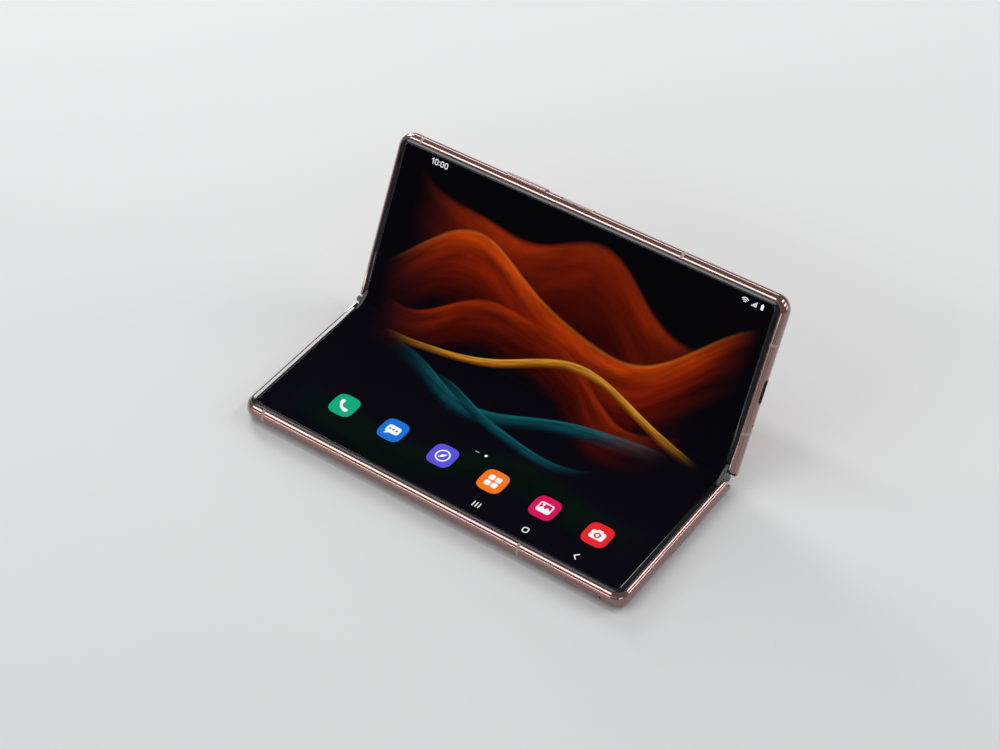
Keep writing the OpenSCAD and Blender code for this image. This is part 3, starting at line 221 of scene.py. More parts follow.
# each finish: colour, metallic, roughness, and what differs from finish_of's own values
FINISHES = {
    "frame_metal": ((0.27, 0.150, 0.136), 1.0, 0.15,
                    dict(grain=420, shift=0.03, bump=0.002, vary=0.010, coat=1.0)),
    "key_metal": ((0.30, 0.168, 0.152), 1.0, 0.17,
                  dict(grain=420, shift=0.03, bump=0.002, vary=0.012, coat=1.0)),
    "spine_metal": ((0.36, 0.20, 0.165), 1.0, 0.14,
                    dict(grain=2000, shift=0.04, bump=0.01, vary=0.03)),
    "island_metal": ((0.40, 0.22, 0.175), 0.8, 0.32, dict(grain=2800, shift=0.05)),
    "ring_metal": ((0.62, 0.41, 0.34), 1.0, 0.16,
                   dict(grain=2600, shift=0.04, bump=0.01, vary=0.03)),
    "back_glass": ((0.36, 0.19, 0.15), 0.55, 0.38, dict(grain=3200, shift=0.05, coat=0.15)),
    "cover_glass": ((0.012, 0.012, 0.015), 0.0, 0.06,
                    dict(grain=700, shift=0.2, bump=0.003, vary=0.02, coat=0.3)),
    "bezel_plastic": ((0.006, 0.0055, 0.0075), 0.0, 0.13,
                      dict(level=0.36, shift=0.2, bump=0.004, vary=0.02)),
    "bumper_rubber": ((0.004, 0.004, 0.0045), 0.0, 0.6,
                      dict(level=0.08, grain=2400, shift=0.15, bump=0.08)),
    "cap_plastic": ((0.085, 0.080, 0.083), 0.0, 0.26,
                    dict(grain=1800, shift=0.10, bump=0.01, coat=0.4)),
    "antenna_plastic": ((0.33, 0.235, 0.215), 0.0, 0.42, dict(level=0.4, grain=2400, bump=0.03)),
    "mesh": ((0.03, 0.03, 0.032), 0.6, 0.5, dict(grain=5200, shift=0.3, bump=0.3)),
    "lens_glass": ((0.006, 0.006, 0.010), 0.0, 0.05,
                   dict(level=0.6, grain=800, shift=0.3, bump=0.004, vary=0.02, coat=0.6)),
    "flash_plastic": ((0.82, 0.77, 0.58), 0.0, 0.25,
                      dict(grain=1500, shift=0.10, bump=0.12, coat=0.5)),
    "panel": ((0.03, 0.03, 0.035), 0.0, 0.2, {}),
    "battery": ((0.05, 0.055, 0.06), 0.3, 0.45, dict(bump=0.06)),
    "board": ((0.012, 0.06, 0.032), 0.0, 0.4, dict(bump=0.08, shift=0.2)),
    "shield": ((0.48, 0.49, 0.51), 0.9, 0.35, dict(stretch=(1, 30, 1), bump=0.05)),
    "speaker_plastic": ((0.02, 0.02, 0.022), 0.0, 0.5, dict(bump=0.08)),
    "camera_black": ((0.012, 0.012, 0.015), 0.0, 0.35, dict(bump=0.03)),
    "support_steel": ((0.30, 0.31, 0.33), 1.0, 0.4, dict(stretch=(30, 1, 1), bump=0.04)),
    "hinge_steel": ((0.42, 0.43, 0.45), 1.0, 0.32, dict(bump=0.04)),
    "screw_steel": ((0.16, 0.165, 0.18), 1.0, 0.35, dict(bump=0.04)),
    "sweeper_fibre": ((0.012, 0.012, 0.012), 0.0, 0.9,
                      dict(level=0.1, grain=6000, stretch=(1, 8, 8), bump=0.6)),
    "card": ((0.74, 0.73, 0.70), 0.0, 0.42, dict(level=0.4, grain=1600, shift=0.03)),
    "coil_copper": ((0.50, 0.16, 0.05), 1.0, 0.35, dict(bump=0.06)),
    "port_steel": ((0.28, 0.285, 0.30), 1.0, 0.32, dict(grain=2000, bump=0.04)),
    "motor_steel": ((0.38, 0.39, 0.41), 1.0, 0.35, dict(bump=0.04)),
    "flex": ((0.45, 0.16, 0.03), 0.0, 0.35, dict(bump=0.05)),
    "spring_steel": ((0.5, 0.51, 0.53), 1.0, 0.3, dict(bump=0.04)),
    "gear_brass": ((0.55, 0.38, 0.12), 1.0, 0.3, dict(bump=0.04)),
}
M = {name: finish_of(name, *values, **more) for name, (*values, more) in FINISHES.items()}

UV_MM = 100.0       # mm of screen to one unit of its UV map
EMBER = [(0.0, (0.62, 0.17, 0.016)), (0.07, (0.36, 0.034, 0.0014)), (0.30, (0.17, 0.0095, 0.0005)),
         (0.65, (0.050, 0.0024, 0.0003)), (1.0, (0.003, 0.0005, 0.0004))]
RUST = [(0.0, (0.22, 0.017, 0.0010)), (0.25, (0.105, 0.0056, 0.0004)),
        (0.6, (0.034, 0.0016, 0.0003)), (1.0, (0.002, 0.0004, 0.0004))]
GOLD = [(0.0, (0.62, 0.32, 0.045)), (0.30, (0.46, 0.18, 0.012)), (0.75, (0.13, 0.032, 0.002)),
        (1.0, (0.008, 0.002, 0.001))]
TEAL = [(0.0, (0.006, 0.115, 0.135)), (0.35, (0.002, 0.046, 0.060)), (0.8, (0.001, 0.011, 0.017)),
        (1.0, (0.001, 0.002, 0.004))]
MOSS = [(0.0, (0.001, 0.0085, 0.0034)), (0.5, (0.001, 0.0045, 0.0026)),
        (1.0, (0.0008, 0.0015, 0.002))]
# each ribbon: line (height, swing, period, phase, second swing and period, tilt), width, colours,
# where it comes and goes along the hinge, streaks (amount, along, across), softness of its crest
RIBBONS = [
    ((-36, 5, 16, 0.2, 1.5, 9, 0.1), 22, MOSS, (-74, -50, 48, 74), (0.3, 0.05, 3), 0.4),
    ((48, 7, 15.5, 0.9, 2.5, 8, -0.12), 44, RUST, (-68, -30, 30, 62), (0.6, 0.035, 5), 0.06),
    ((31, -13, 19, 0.35, 2, 9, 0.1), 30, EMBER, (-72, -38, 50, 74), (0.65, 0.04, 6), 0.06),
    ((12, 9.5, 17, 2.3, 1.5, 7, -0.05), 22, RUST, (-70, -38, 28, 60), (0.6, 0.05, 6), 0.06),
    ((3.5, 8.5, 21, 0.8, 1, 9, 0.02), 4.2, GOLD, (-62, -26, 40, 68), (0.6, 0.09, 5), 0.12),
    ((-11, 7.5, 18, -0.9, 1.2, 8, 0.03), 8, TEAL, (-58, -20, 24, 58), (0.6, 0.07, 6), 0.1),
    ((-21, -5, 14, 0.4, 1, 7, -0.04), 5, TEAL, (-36, -8, 14, 42), (0.6, 0.07, 6), 0.12)]
TAIL = 0.35         # share of a ribbon's width over which its far side fades


def wallpaper():
    """The lit screen: broad silk waves in orange and red, gold and teal ribbons, on near black."""
    g = Graph("screen_lit")
    uv = g.node("ShaderNodeUVMap", uv_map="screen_mm").outputs[0]
    sep = g.fill(g.node("ShaderNodeSeparateXYZ"), Vector=uv)
    s = g.times(sep.outputs[0], UV_MM)      # mm along the hinge
    t = g.times(sep.outputs[1], UV_MM)      # mm across, 0 at the fold, up the upper half

    def wave(height, swing, period, phase, second, second_period, tilt):
        a = g.times(g.math("SINE", g.plus(g.math("DIVIDE", s, period), phase)), swing)
        b = g.times(g.math("SINE", g.math("DIVIDE", s, second_period)), second)
        return g.plus(g.plus(a, b), g.plus(g.times(s, tilt), height))

    def streaks(d, amount, along, across):
        n = g.fill(g.node("ShaderNodeCombineXYZ"), X=g.times(s, along), Y=g.times(d, across))
        fac = g.noise(n.outputs[0], 1.0, 3.0, 0.55)
        return g.remap(fac, 0.25, 0.75, 1.0 - amount, 1.0 + amount)

    c = g.mix(g.smooth(t, -60.0, 50.0), rgb(0.0020, 0.0019, 0.0042), rgb(0.0006, 0.0005, 0.0009))
    c = g.mix(g.times(g.noise(uv, 3.0, 2.0), 0.5), c, rgb(0.0030, 0.0018, 0.0042))
    for line, width, colours, (in0, in1, out0, out1), streak, crest in RIBBONS:
        # d is 0 at the ribbon's crest and 1 at its tail
        d = g.math("DIVIDE", g.math("SUBTRACT", wave(*line), t), width)
        mask = g.times(g.smooth(d, 0.0, crest), g.smooth(d, 1.0, 1.0 - TAIL))
        mask = g.times(mask, g.times(g.smooth(s, in0, in1), g.smooth(s, out1, out0)))
        c = g.mix(mask, c, g.mix(1.0, g.ramp(d, colours), streaks(d, *streak), "MULTIPLY"))
    cells = g.noise(g.coords(), 5200.0, 1.0)
    c = g.mix(g.remap(cells, 0.3, 0.7, 0.0, 0.10), c, rgb(0.002, 0.002, 0.003))
    fine = g.noise(g.coords(), 420.0, 2.0)
    return g.surface(Base_Color=rgb(0.001, 0.001, 0.0015), Specular_IOR_Level=0.0012,
                     Roughness=g.remap(fine, 0.3, 0.7, 0.10, 0.14), Normal=g.bump(fine, 0.006),
                     Emission_Color=c, Emission_Strength=1.0)


M["screen_lit"] = wallpaper()


# ------------------------ building pieces
def in_scene(name, data):
    obj = bpy.data.objects.new(name, data)
    bpy.context.scene.collection.objects.link(obj)
    return obj


WELD = 1e-7             # metres; points nearer than this are one


def mesh_of(name, skin, place, weld=True):
    """A mesh from a skin, (points in a body's own mm, faces), with its normals outwards."""
    mesh = bpy.data.meshes.new(name)
    mesh.from_pydata([place(*p) for p in skin[0]], [], skin[1])
    bm = bmesh.new()
    bm.from_mesh(mesh)
    if weld:
        bmesh.ops.remove_doubles(bm, verts=bm.verts, dist=WELD)
    bmesh.ops.recalc_face_normals(bm, faces=bm.faces)
    bm.to_mesh(mesh)
    bm.free()
    return mesh


def add(name, mesh, body, material, replaces=None, sharp=35.0):
    """One piece, riding on its body if it has one; edges over `sharp` degrees stay crisp."""
    obj = in_scene(name, mesh)
    mesh.materials.clear()
    mesh.materials.append(M[material] if isinstance(material, str) else material)
    for p in mesh.polygons:
        p.use_smooth = True
    mesh.set_sharp_from_angle(angle=radians(sharp))
    if body:
        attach(obj, body)
    if replaces:
        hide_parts(replaces)
    return obj


def make(name, skin, body, material, replaces=None, sharp=35.0, place=None):
    mesh = mesh_of(name, skin, place or PLACE[body])
    return add(name, mesh, body, material, replaces, sharp)


def merged(name, *meshes):
    bm = bmesh.new()
    for mesh in meshes:
        bm.from_mesh(mesh)
    out = bpy.data.meshes.new(name)
    bm.to_mesh(out)
    bm.free()
    return out


def carved(skin, cutters, place, operation="DIFFERENCE"):
    """Mesh of a skin after cutting with every cutter in turn, or of what it shares with them."""
    obj, *tools = [in_scene("cutter", mesh_of("cutter", s, place, False)) for s in (skin, *cutters)]
    for tool in tools:
        m = obj.modifiers.new("cut", "BOOLEAN")
        m.operation, m.solver, m.object = operation, "EXACT", tool
    bpy.context.view_layer.update()
    mesh = bpy.data.meshes.new_from_object(obj.evaluated_get(bpy.context.evaluated_depsgraph_get()))
    for o in (obj, *tools):
        bpy.data.objects.remove(o)
    return mesh


def loft(rings, close_ends=True):
    """Points and faces of a skin through closed rings of equal count."""
    n, last = len(rings[0]), len(rings) - 1
    faces = [(i * n + j, i * n + (j + 1) % n, (i + 1) * n + (j + 1) % n, (i + 1) * n + j)
             for i in range(last) for j in range(n)]
    if close_ends:
        faces += [tuple(reversed(range(n))), tuple(range(last * n, last * n + n))]
    return [p for r in rings for p in r], faces


def join(*skins):
    verts, faces = [], []
    for v, f in skins:
        n = len(verts)
        verts += v
        faces += [tuple(i + n for i in face) for face in f]
    return verts, faces


def fan(a, b, r, start, stop, steps):
    """Points on an arc about (a, b), from `start` to `stop` degrees."""
    turns = [radians(start + (stop - start) * k / steps) for k in range(steps + 1)]
    return [(a + r * cos(t), b + r * sin(t)) for t in turns]


def circle(a, b, r, steps):
    return fan(a, b, r, 0, 360, steps)[:-1]


def rounded(a0, a1, b0, b1, radii, inset=0.0, steps=8):
    """Outline of a rectangle, with radii for the corners (a1,b1), (a0,b1), (a0,b0), (a1,b0)."""
    out = []
    spots = ((a1, b1, 0), (a0, b1, 90), (a0, b0, 180), (a1, b0, 270))
    for (a, b, start), r in zip(spots, radii):
        rr = max(r - inset, 0.01)
        ca = a - (1 if a == a1 else -1) * (inset + rr)
        cb = b - (1 if b == b1 else -1) * (inset + rr)
        out += fan(ca, cb, rr, start, start + 90, steps)
    return out


AXES = {"z": lambda a, b, h: (a, b, h), "v": lambda a, b, h: (a, h, b),
        "x": lambda a, b, h: (h, a, b)}


def stack(outline, levels, axis="z"):
    """A skin through outline(inset) at each (inset, level); the levels run along `axis`."""
    return loft([[AXES[axis](a, b, level) for a, b in outline(inset)] for inset, level in levels])


def tablet(spans, r, levels, axis="z", steps=8):
    """A rectangle (a0, a1, b0, b1) with a radius, or one for each corner, at (inset, level)s."""
    radii = r if isinstance(r, list) else [r] * 4
    return stack(lambda i: rounded(*spans, radii, i, steps), levels, axis)


def pill(spans, levels, axis="z", steps=10):
    return tablet(spans, (spans[3] - spans[2]) / 2, levels, axis, steps)


def about(a, b, la, lb, grow=0.0):
    """Spans of a rectangle la by lb about (a, b), grown on every side."""
    return a - la / 2 - grow, a + la / 2 + grow, b - lb / 2 - grow, b + lb / 2 + grow


def block(x0, x1, v0, v1, z0, z1, r=0.0):
    """A box, with rounded edges along z when r is given."""
    return tablet((x0, x1, v0, v1), max(r, 0.01), [(0, z0), (0, z1)], "z", 4 if r else 1)


def turned(profile, centre, steps=64, close_ends=True):
    """A skin turned about an axis along z through centre (x, v); profile is (radius, z)."""
    return loft([[(x, v, z) for x, v in circle(*centre, r, steps)] for r, z in profile], close_ends)


def drilled(x, v, r, z, length, along="x"):
    """Round cutter through a side: along x at (v, z), or along v at (x, z)."""
    at, a = (x, v) if along == "x" else (v, x)
    return stack(lambda _: circle(a, z, r, 20), [(0, at - length), (0, at + length)], along)


def around(stations):
    """Places along a half's three free edges, from the fold at +X round to the fold at -X: a
    point (x, v), the way out (x, v), the turn from an end (0) to the long side (1), and the
    station, which begins with its v, or None."""
    cx, cv = HL - CORNER, HW - CORNER
    for s in stations:
        yield cx, s[0], 1, 0, 0.0, s
    for i in range(1, 12):
        a = radians(90 * i / 12)
        yield cx, cv, cos(a), sin(a), i / 12, None
    for i in range(9):
        yield cx - 2 * cx * i / 8, cv, 0, 1, 1.0, None
    for i in range(1, 12):
        a = radians(90 + 90 * i / 12)
        yield -cx, cv, cos(a), sin(a), 1 - i / 12, None
    for s in reversed(stations):
        yield -cx, s[0], -1, 0, 0.0, s


# ------------------------ frame sides
SIDE_R = 4.0                    # the sides bulge with this radius
RIM = T - 0.3                   # top of the frame; the screen's border stands above it
FLOOR_Z, WEB_Z = 0.05, 5.8      # the ring's lowest point, and the ledge that carries the screen
STEM_V, STEM_TOP, END_R = 1.25, T - 2.6, 0.9
GUTTER_R = 5.55                 # concave wall beside the spine


def side_profile():
    """Closed section of a half's outer ring as (inset from the outer face, z): a lip, the lower
    groove, the bulging side, the upper groove and the rim."""
    def side(*spots):
        return [(SIDE_R - sqrt(SIDE_R ** 2 - (z - MID) ** 2) + extra, z) for z, extra in spots]
    return [
        (2.2, 0.6), (2.2, 0.12), (2.13, FLOOR_Z),
        *side((FLOOR_Z, 0.22), *[(z, 0.015) for z in (0.12, 0.25, 0.42, 0.62, 0.85)]),
        *side((0.94, 0.055), (1.0, 0.055), (1.09, 0.015)),
        *side(*[(1.25 + 0.3 * i, 0.012) for i in range(14)]),
        *side((5.64, 0.015), (5.70, 0.14), (5.92, 0.14), (6.0, 0.015)),
        *side((6.12, 0.02), (6.30, 0.03), (6.46, 0.04), (6.56, 0.03), (RIM, 0.04)),
        (1.96, RIM), (1.9, RIM - 0.06), (1.9, WEB_Z), (2.45, WEB_Z), (2.45, 0.6)]


def end_top(v, step):
    """Highest z of the ring near the fold: low for the cap's stem, then a rounded shoulder."""
    if v < STEM_V or (v == STEM_V and step == 0):
        return STEM_TOP
    if v >= STEM_V + END_R:
        return RIM
    return RIM - END_R + sqrt(END_R ** 2 - (STEM_V + END_R - v) ** 2)


def side_ring(v_start=0.08, start_shrink=0.12):
    """Sweeps the section along the three free edges."""
    profile = side_profile()
    stations = [(v_start, 0), (v_start + 0.12, 0), (STEM_V, 0), (STEM_V, 1)]
    stations += [(STEM_V + END_R * (1 - cos(radians(a))), 1) for a in (15, 30, 45, 60, 75)]
    stations += [(v, 1) for v in (STEM_V + END_R, 12.0, 35.0, HW - CORNER)]
    rings = []
    for px, pv, nx, nv, _, station in around(stations):
        top = end_top(*station) if station else RIM
        shrink = start_shrink if pv == v_start else 0.0
        ring = []
        for inset, z in profile:
            o = CORNER - max(inset, shrink)
            z = min(max(z, FLOOR_Z + shrink), top - (shrink if top < RIM else 0))
            ring.append((px + nx * o, pv + nv * o, z))
        rings.append(ring)
    return loft(rings)


SIDE = side_ring()


def hinge_strip(half_length):
    """The wall beside the spine, with its concave gutter, drawn across (v, z) and run along x."""
    outline = [(8.4, 0.6), (5.6, 0.6), (5.6, 0.12), (5.53, FLOOR_Z), (0.30, FLOOR_Z), (0.17, 0.09),
               (0.09, 0.19), (0.08, 0.32), (0.08, 1.16), (0.12, 1.28), (0.24, 1.35), (OFF, 1.35)]
    outline += [(OFF + GUTTER_R * sin(radians(a)), T - GUTTER_R * cos(radians(a)))
                for a in range(4, 78, 4)]
    outline += [(OFF + sqrt(GUTTER_R ** 2 - (T - WEB_Z) ** 2), WEB_Z), (8.4, WEB_Z)]
    xs = [-half_length + 2 * half_length * i / 6 for i in range(7)]
    return loft([[(x, v, z) for v, z in outline] for x in xs])


SPEAKER_HOLES, SPEAKER_V, SPEAKER_PITCH, SPEAKER_R, SPEAKER_Z = 11, 22.6, 1.3, 0.42, 2.7
TRAY_X, TRAY_W, TRAY_H, TRAY_Z = 63.85, 12.1, 1.8, 3.4
EJECT_X, EJECT_R = TRAY_X + 7.15, 0.45
# antenna bands: their x on the long side, and their v on the end at +X
BANDS = {"lower_half": ([-70.0, 38.2], []), "upper_half": ([-70.2, 38.2], [15.7, 47.7])}
HALVES = tuple(BANDS)
BAND_W, BAND_GAP = 1.1, 0.02
# keys: x, length, height, and how far they stand proud
KEYS = {"volume_rocker": (-26.5, 18.0, 2.2, 0.45), "side_key": (-5.5, 13.5, 2.6, -0.15)}
GAP = 0.12                      # round the keys and the tray's face
PORT_V, PORT_W, PORT_H = 31.05, 8.34, 2.56
PORT_WALL = 0.35                # the port's own wall, and its gap
MIC_V, MIC_R = 18.8, 0.4


def band_cutters(half, grow):
    xs, vs = BANDS[half]
    w = BAND_W / 2 + grow
    return ([block(x - w, x + w, HW - 3, HW + 1, -1, T + 1) for x in xs]
            + [block(HL - 3, HL + 1, v - w, v + w, -1, T + 1) for v in vs])


def frame_of(half):
    """A half's metal frame with its openings, and the antenna bands let into it."""
    place, node = PLACE[half], half.replace("half", "frame")
    cutters = band_cutters(half, BAND_GAP)
    through = [(0, HW - 4), (0, HW + 1)]
    if half == "lower_half":
        cutters += [drilled(HL, SPEAKER_V + i * SPEAKER_PITCH, SPEAKER_R, SPEAKER_Z, 1.9)
                    for i in range(SPEAKER_HOLES)]
        cutters.append(tablet(about(TRAY_X, TRAY_Z, TRAY_W, TRAY_H, GAP), 0.6, through, "v"))
        cutters.append(drilled(EJECT_X, HW, EJECT_R, TRAY_Z, 1.6, "v"))
    else:
        cutters += [pill(about(x, MID, l, h, GAP), through, "v") for x, l, h, _ in KEYS.values()]
        port = about(PORT_V, MID, PORT_W, PORT_H, PORT_WALL)
        cutters.append(pill(port, [(0, HL - 4), (0, HL + 1)], "x"))
        cutters.append(drilled(HL, MIC_V, MIC_R, MID, 1.6))
    ring = carved(SIDE, cutters, place)
    strip = mesh_of("strip", hinge_strip(HL - 2.3), place, False)
    add(node + "_shell", merged(half + "_frame", ring, strip), half, "frame_metal", node, 28)
    bands = [carved(SIDE, [c], place, "INTERSECT") for c in band_cutters(half, -BAND_GAP)]
    node = node.replace("frame", "antenna_bands")
    add(node + "_look", merged(half + "_bands", *bands), half, "antenna_plastic", node, 28)


for half in HALVES:
    frame_of(half)


# ------------------------ borders of the folding screen
DISPLAY_X, DISPLAY_V, DISPLAY_TOP, SCREEN_CORNER = HL - 4.15, HW - 3.7, T - 0.25, 3.2
BEZEL_V0, BEZEL_OUT, BEZEL_W = 4.5, 2.0, 2.06
# the border's section: (distance from its outer edge, z)
BEZEL = [(0.0, 5.82), (0.0, T - 0.30), (0.04, T - 0.250), (0.12, T - 0.205), (0.22, T - 0.177),
         (0.27, T - 0.168), (0.62, T - 0.111), (0.98, T - 0.053), (1.28, T - 0.008), (1.42, T),
         (1.54, T), (1.70, T - 0.025), (1.86, T - 0.080), (1.97, T - 0.145),
         (2.04, DISPLAY_TOP - 0.02), (BEZEL_W, DISPLAY_TOP - 0.05), (BEZEL_W, 5.82)]


def bezel(half):
    """U-shaped border along the two ends and the free edge, sloping outwards on top."""
    end_scale = (HL - BEZEL_OUT - DISPLAY_X) / BEZEL_W
    side_scale = (HW - BEZEL_OUT - DISPLAY_V) / BEZEL_W
    rings = []
    # each station: v, and how far the top drops there
    stations = [(BEZEL_V0, 0.16), (BEZEL_V0 + 0.05, 0.05), (BEZEL_V0 + 0.18, 0.0),
                (20.0, 0.0), (40.0, 0.0), (HW - CORNER, 0.0)]
    for px, pv, nx, nv, turn, station in around(stations):
        scale = end_scale + (side_scale - end_scale) * turn
        drop = station[1] if station else 0.0
        out = [(CORNER - BEZEL_OUT - d * scale, min(z, T - drop) if z > 6 else z) for d, z in BEZEL]
        rings.append([(px + nx * o, pv + nv * o, z) for o, z in out])
    node = half.replace("half", "bezel")
    make(node + "_rim", loft(rings), half, "bezel_plastic", node)


for half in HALVES:
    bezel(half)

# soft pads let into the two ends of the upper border
PAD_X, PAD_V, PAD_W, PAD_L = HL - 3.0, HW - 9.5, 1.1, 5.2
PAD_LEVELS = [(0.0, T - 0.25), (0.0, T - 0.05), (0.05, T - 0.012), (0.14, T), (0.40, T)]
pads = [tablet(about(s * PAD_X, PAD_V, PAD_W, PAD_L), PAD_W / 2, PAD_LEVELS) for s in (-1, 1)]
make("upper_bumpers_pads", join(*pads), "upper_half", "bumper_rubber", "upper_bumpers")


# ------------------------ folding screen
FOLD_FLAT = 7.0         # the screen bends within this distance of the fold line


def legs_between(reach, depth):
    """Length of two equal straight legs from `reach` on one half to `reach` on the other, at
    `depth` below the axes."""
    far = (2 * OFF * COS1 - OFF + (reach - OFF) * COS2 + depth * SIN2 + reach,
           2 * OFF * SIN1 + (reach - OFF) * SIN2 - depth * COS2 + depth)
    return hypot(*far) / COS1


def mirrored(p, middle):
    """A point across the fold, (y, z), mirrored in the bend's middle plane."""
    return p - 2 * (p - middle).dot(FLIP) * FLIP


def screen_bend(steps=12):
    """The lower part of the screen's bend, as (flat distance from the fold line, y, z). Its radius
    keeps the screen's flat width between its two straight parts."""
    legs = legs_between(FOLD_FLAT, T - DISPLAY_TOP)
    r = (legs - 2 * FOLD_FLAT) / (2 * tan(PHI) - 2 * PHI)
    straight = legs / 2 - r * tan(PHI)
    turns = [PHI * i / steps for i in range(steps + 1)]
    return [(FOLD_FLAT - straight - r * a, straight - FOLD_FLAT + r * sin(a),
             DISPLAY_TOP + r * (1 - cos(a))) for a in turns]


def half_width(v):
    """Half the screen's length at v, with its rounded corners."""
    over = v - (DISPLAY_V - SCREEN_CORNER)
    if over <= 0:
        return DISPLAY_X
    return DISPLAY_X - SCREEN_CORNER + sqrt(max(SCREEN_CORNER ** 2 - over ** 2, 0.0))


def screen_half(name, top):
    """Half of the folding screen, from its free edge to the middle of its bend; the upper half
    mirrors the lower one."""
    rows = [DISPLAY_V - SCREEN_CORNER * (1 - sin(radians(a)))
            for a in (90, 82, 72, 60, 48, 36, 24, 12, 0)]
    rows = [(v, -v, DISPLAY_TOP) for v in rows + [50, 43, 36, 29, 22, 16, 12, 9, 7]] + screen_bend()
    middle = Vector(rows[-1][1:])
    columns = [i / 40 for i in range(-40, 41)]
    verts, uvs = [], []
    for v, y, z in rows:
        w = half_width(v)
        p = mirrored(Vector((y, z)), middle) if top else Vector((y, z))
        verts += [bent(c * w, *p) for c in columns]
        uvs += [(c * w / UV_MM, (v if top else -v) / UV_MM) for c in columns]
    n = len(columns)
    faces = [(i * n + j, i * n + j + 1, (i + 1) * n + j + 1, (i + 1) * n + j)
             for i in range(len(rows) - 1) for j in range(n - 1)]
    mesh = bpy.data.meshes.new(name)
    mesh.from_pydata(verts, [], faces)
    layer = mesh.uv_layers.new(name="screen_mm")
    for loop in mesh.loops:
        layer.data[loop.index].uv = uvs[loop.vertex_index]
    obj = add(name, mesh, None, "screen_lit", sharp=60)
    bm = bmesh.new()
    bm.from_mesh(mesh)
    if sum(f.normal.z * f.calc_area() for f in bm.faces) < 0:
        bmesh.ops.reverse_faces(bm, faces=bm.faces)
    bm.to_mesh(mesh)
    bm.free()
    return obj


screen_lower = screen_half("screen_lower", False)
screen_upper = screen_half("screen_upper", True)
fold_middle = bent(0, *screen_bend()[-1][1:])
lower(0, FOLD_FLAT, DISPLAY_TOP)
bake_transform(screen_lower)
upper(0, FOLD_FLAT, DISPLAY_TOP)
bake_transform(screen_upper)
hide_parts("display_lower", "display_fold")
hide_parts("display_upper", "display_fold")

# two flexible circuits cross the hinge under the screen
FLEX_X, FLEX_W, FLEX_T, FLEX_TAIL, FLEX_R = (-24.0, -11.0), 10.0, 0.12, 12.0, 9.0
FLEX_TOP = T - 1.38


def flex_path():
    """The lower part of the flexes' upper face, as (point across the fold, unit vector upwards)."""
    straight = legs_between(FLEX_TAIL, T - FLEX_TOP) / 2 - FLEX_R * tan(PHI)
    path = [(Vector((-FLEX_TAIL + straight * i / 12, FLEX_TOP)), Vector((0, 1))) for i in range(12)]
    for i in range(11):
        up = Vector((-sin(PHI * i / 10), cos(PHI * i / 10)))
        path.append((Vector((straight - FLEX_TAIL, FLEX_TOP + FLEX_R)) - FLEX_R * up, up))
    return path


def flex_half(name, top):
    """Half of both flexible circuits, mirrored like the screen and bent across the fold."""
    path = flex_path()
    if top:
        path = [(mirrored(p, path[-1][0]), mirrored(up, Vector((0, 0)))) for p, up in path]
    edge = FLEX_W / 2 - 0.03
    strips = []
    for x in FLEX_X:
        rings = []
        for p, up in path:
            q = p - FLEX_T * up
            mid = (p + q) / 2
            rings.append([(x - edge, *p), (x + edge, *p), (x + FLEX_W / 2, *mid), (x + edge, *q),
                          (x - edge, *q), (x - FLEX_W / 2, *mid)])
        strips.append(loft(rings))
    flex = make(name, join(*strips), None, "flex", place=bent)
    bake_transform(flex)
    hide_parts("hinge_flexes")


flex_half("hinge_flex_lower", False)
flex_half("hinge_flex_upper", True)


# ------------------------ marks on the lit screen
# the marks stand above the screen in layers
TILE_TOP, GLYPH_TOP, HOLE_TOP, EYE_TOP = [DISPLAY_TOP + up for up in (0.03, 0.05, 0.065, 0.08)]


class Marks:
    """Flat shapes in a half's plane. `a` runs along +x and `b` is up as the phone is read."""

    def __init__(self, centre_x, centre_v, level=TILE_TOP, up=-1):
        self.cx, self.cv, self.up, self.level = centre_x, centre_v, up, level
        self.verts, self.faces = [], []

    def place(self, points):
        """Takes in the points and returns the index of the first."""
        self.verts += [(self.cx + a, self.cv + self.up * b, self.level) for a, b in points]
        return len(self.verts) - len(points)

    def shape(self, points):
        n = self.place(points)
        self.faces.append(tuple(range(n, n + len(points))))
        return self

    def disc(self, a, b, r, steps=28):
        return self.shape(circle(a, b, r, steps))

    def slab(self, a0, a1, b0, b1, r):
        return self.shape(rounded(a0, a1, b0, b1, [r] * 4))

    def squircle(self, r, power=3.4, steps=72):
        return self.shape([[copysign(abs(c) ** (2 / power), c) * r for c in p]
                           for p in circle(0, 0, 1, steps)])

    def band(self, outer, inner):
        n = len(outer)
        base = self.place(outer + inner)
        self.faces += [(base + i, base + (i + 1) % n, base + n + (i + 1) % n, base + n + i)
                       for i in range(n)]
        return self

    def frame(self, a0, a1, b0, b1, r, w):
        return self.band(*[rounded(a0, a1, b0, b1, [r] * 4, inset) for inset in (0, w)])

    def stroke(self, points, w):
        """A line with round ends along the points."""
        for (a0, b0), (a1, b1) in zip(points, points[1:]):
            turn = degrees(atan2(b1 - b0, a1 - a0))
            self.shape(fan(a1, b1, w / 2, turn - 90, turn + 90, 8)
                       + fan(a0, b0, w / 2, turn + 90, turn + 270, 8))
        return self

    def arc(self, a, b, r, w, start, stop, steps=14):
        return self.stroke(fan(a, b, r, start, stop, steps), w)


def flat(name, marks, material, depth=0.012, half="lower_half"):
    """One piece of flat marks, with a little body so that they aren't bare sheets."""
    verts, faces = [], []
    for m in marks:
        base, n = len(verts), len(m.verts)
        verts += m.verts + [(x, v, z - depth) for x, v, z in m.verts]
        for f in m.faces:
            f = [i + base for i in f]
            faces += [tuple(f), tuple(i + n for i in reversed(f))]
            faces += [(i, i + n, j + n, j) for i, j in zip(f, f[1:] + f[:1])]
    make(name, (verts, faces), half, material, sharp=20)


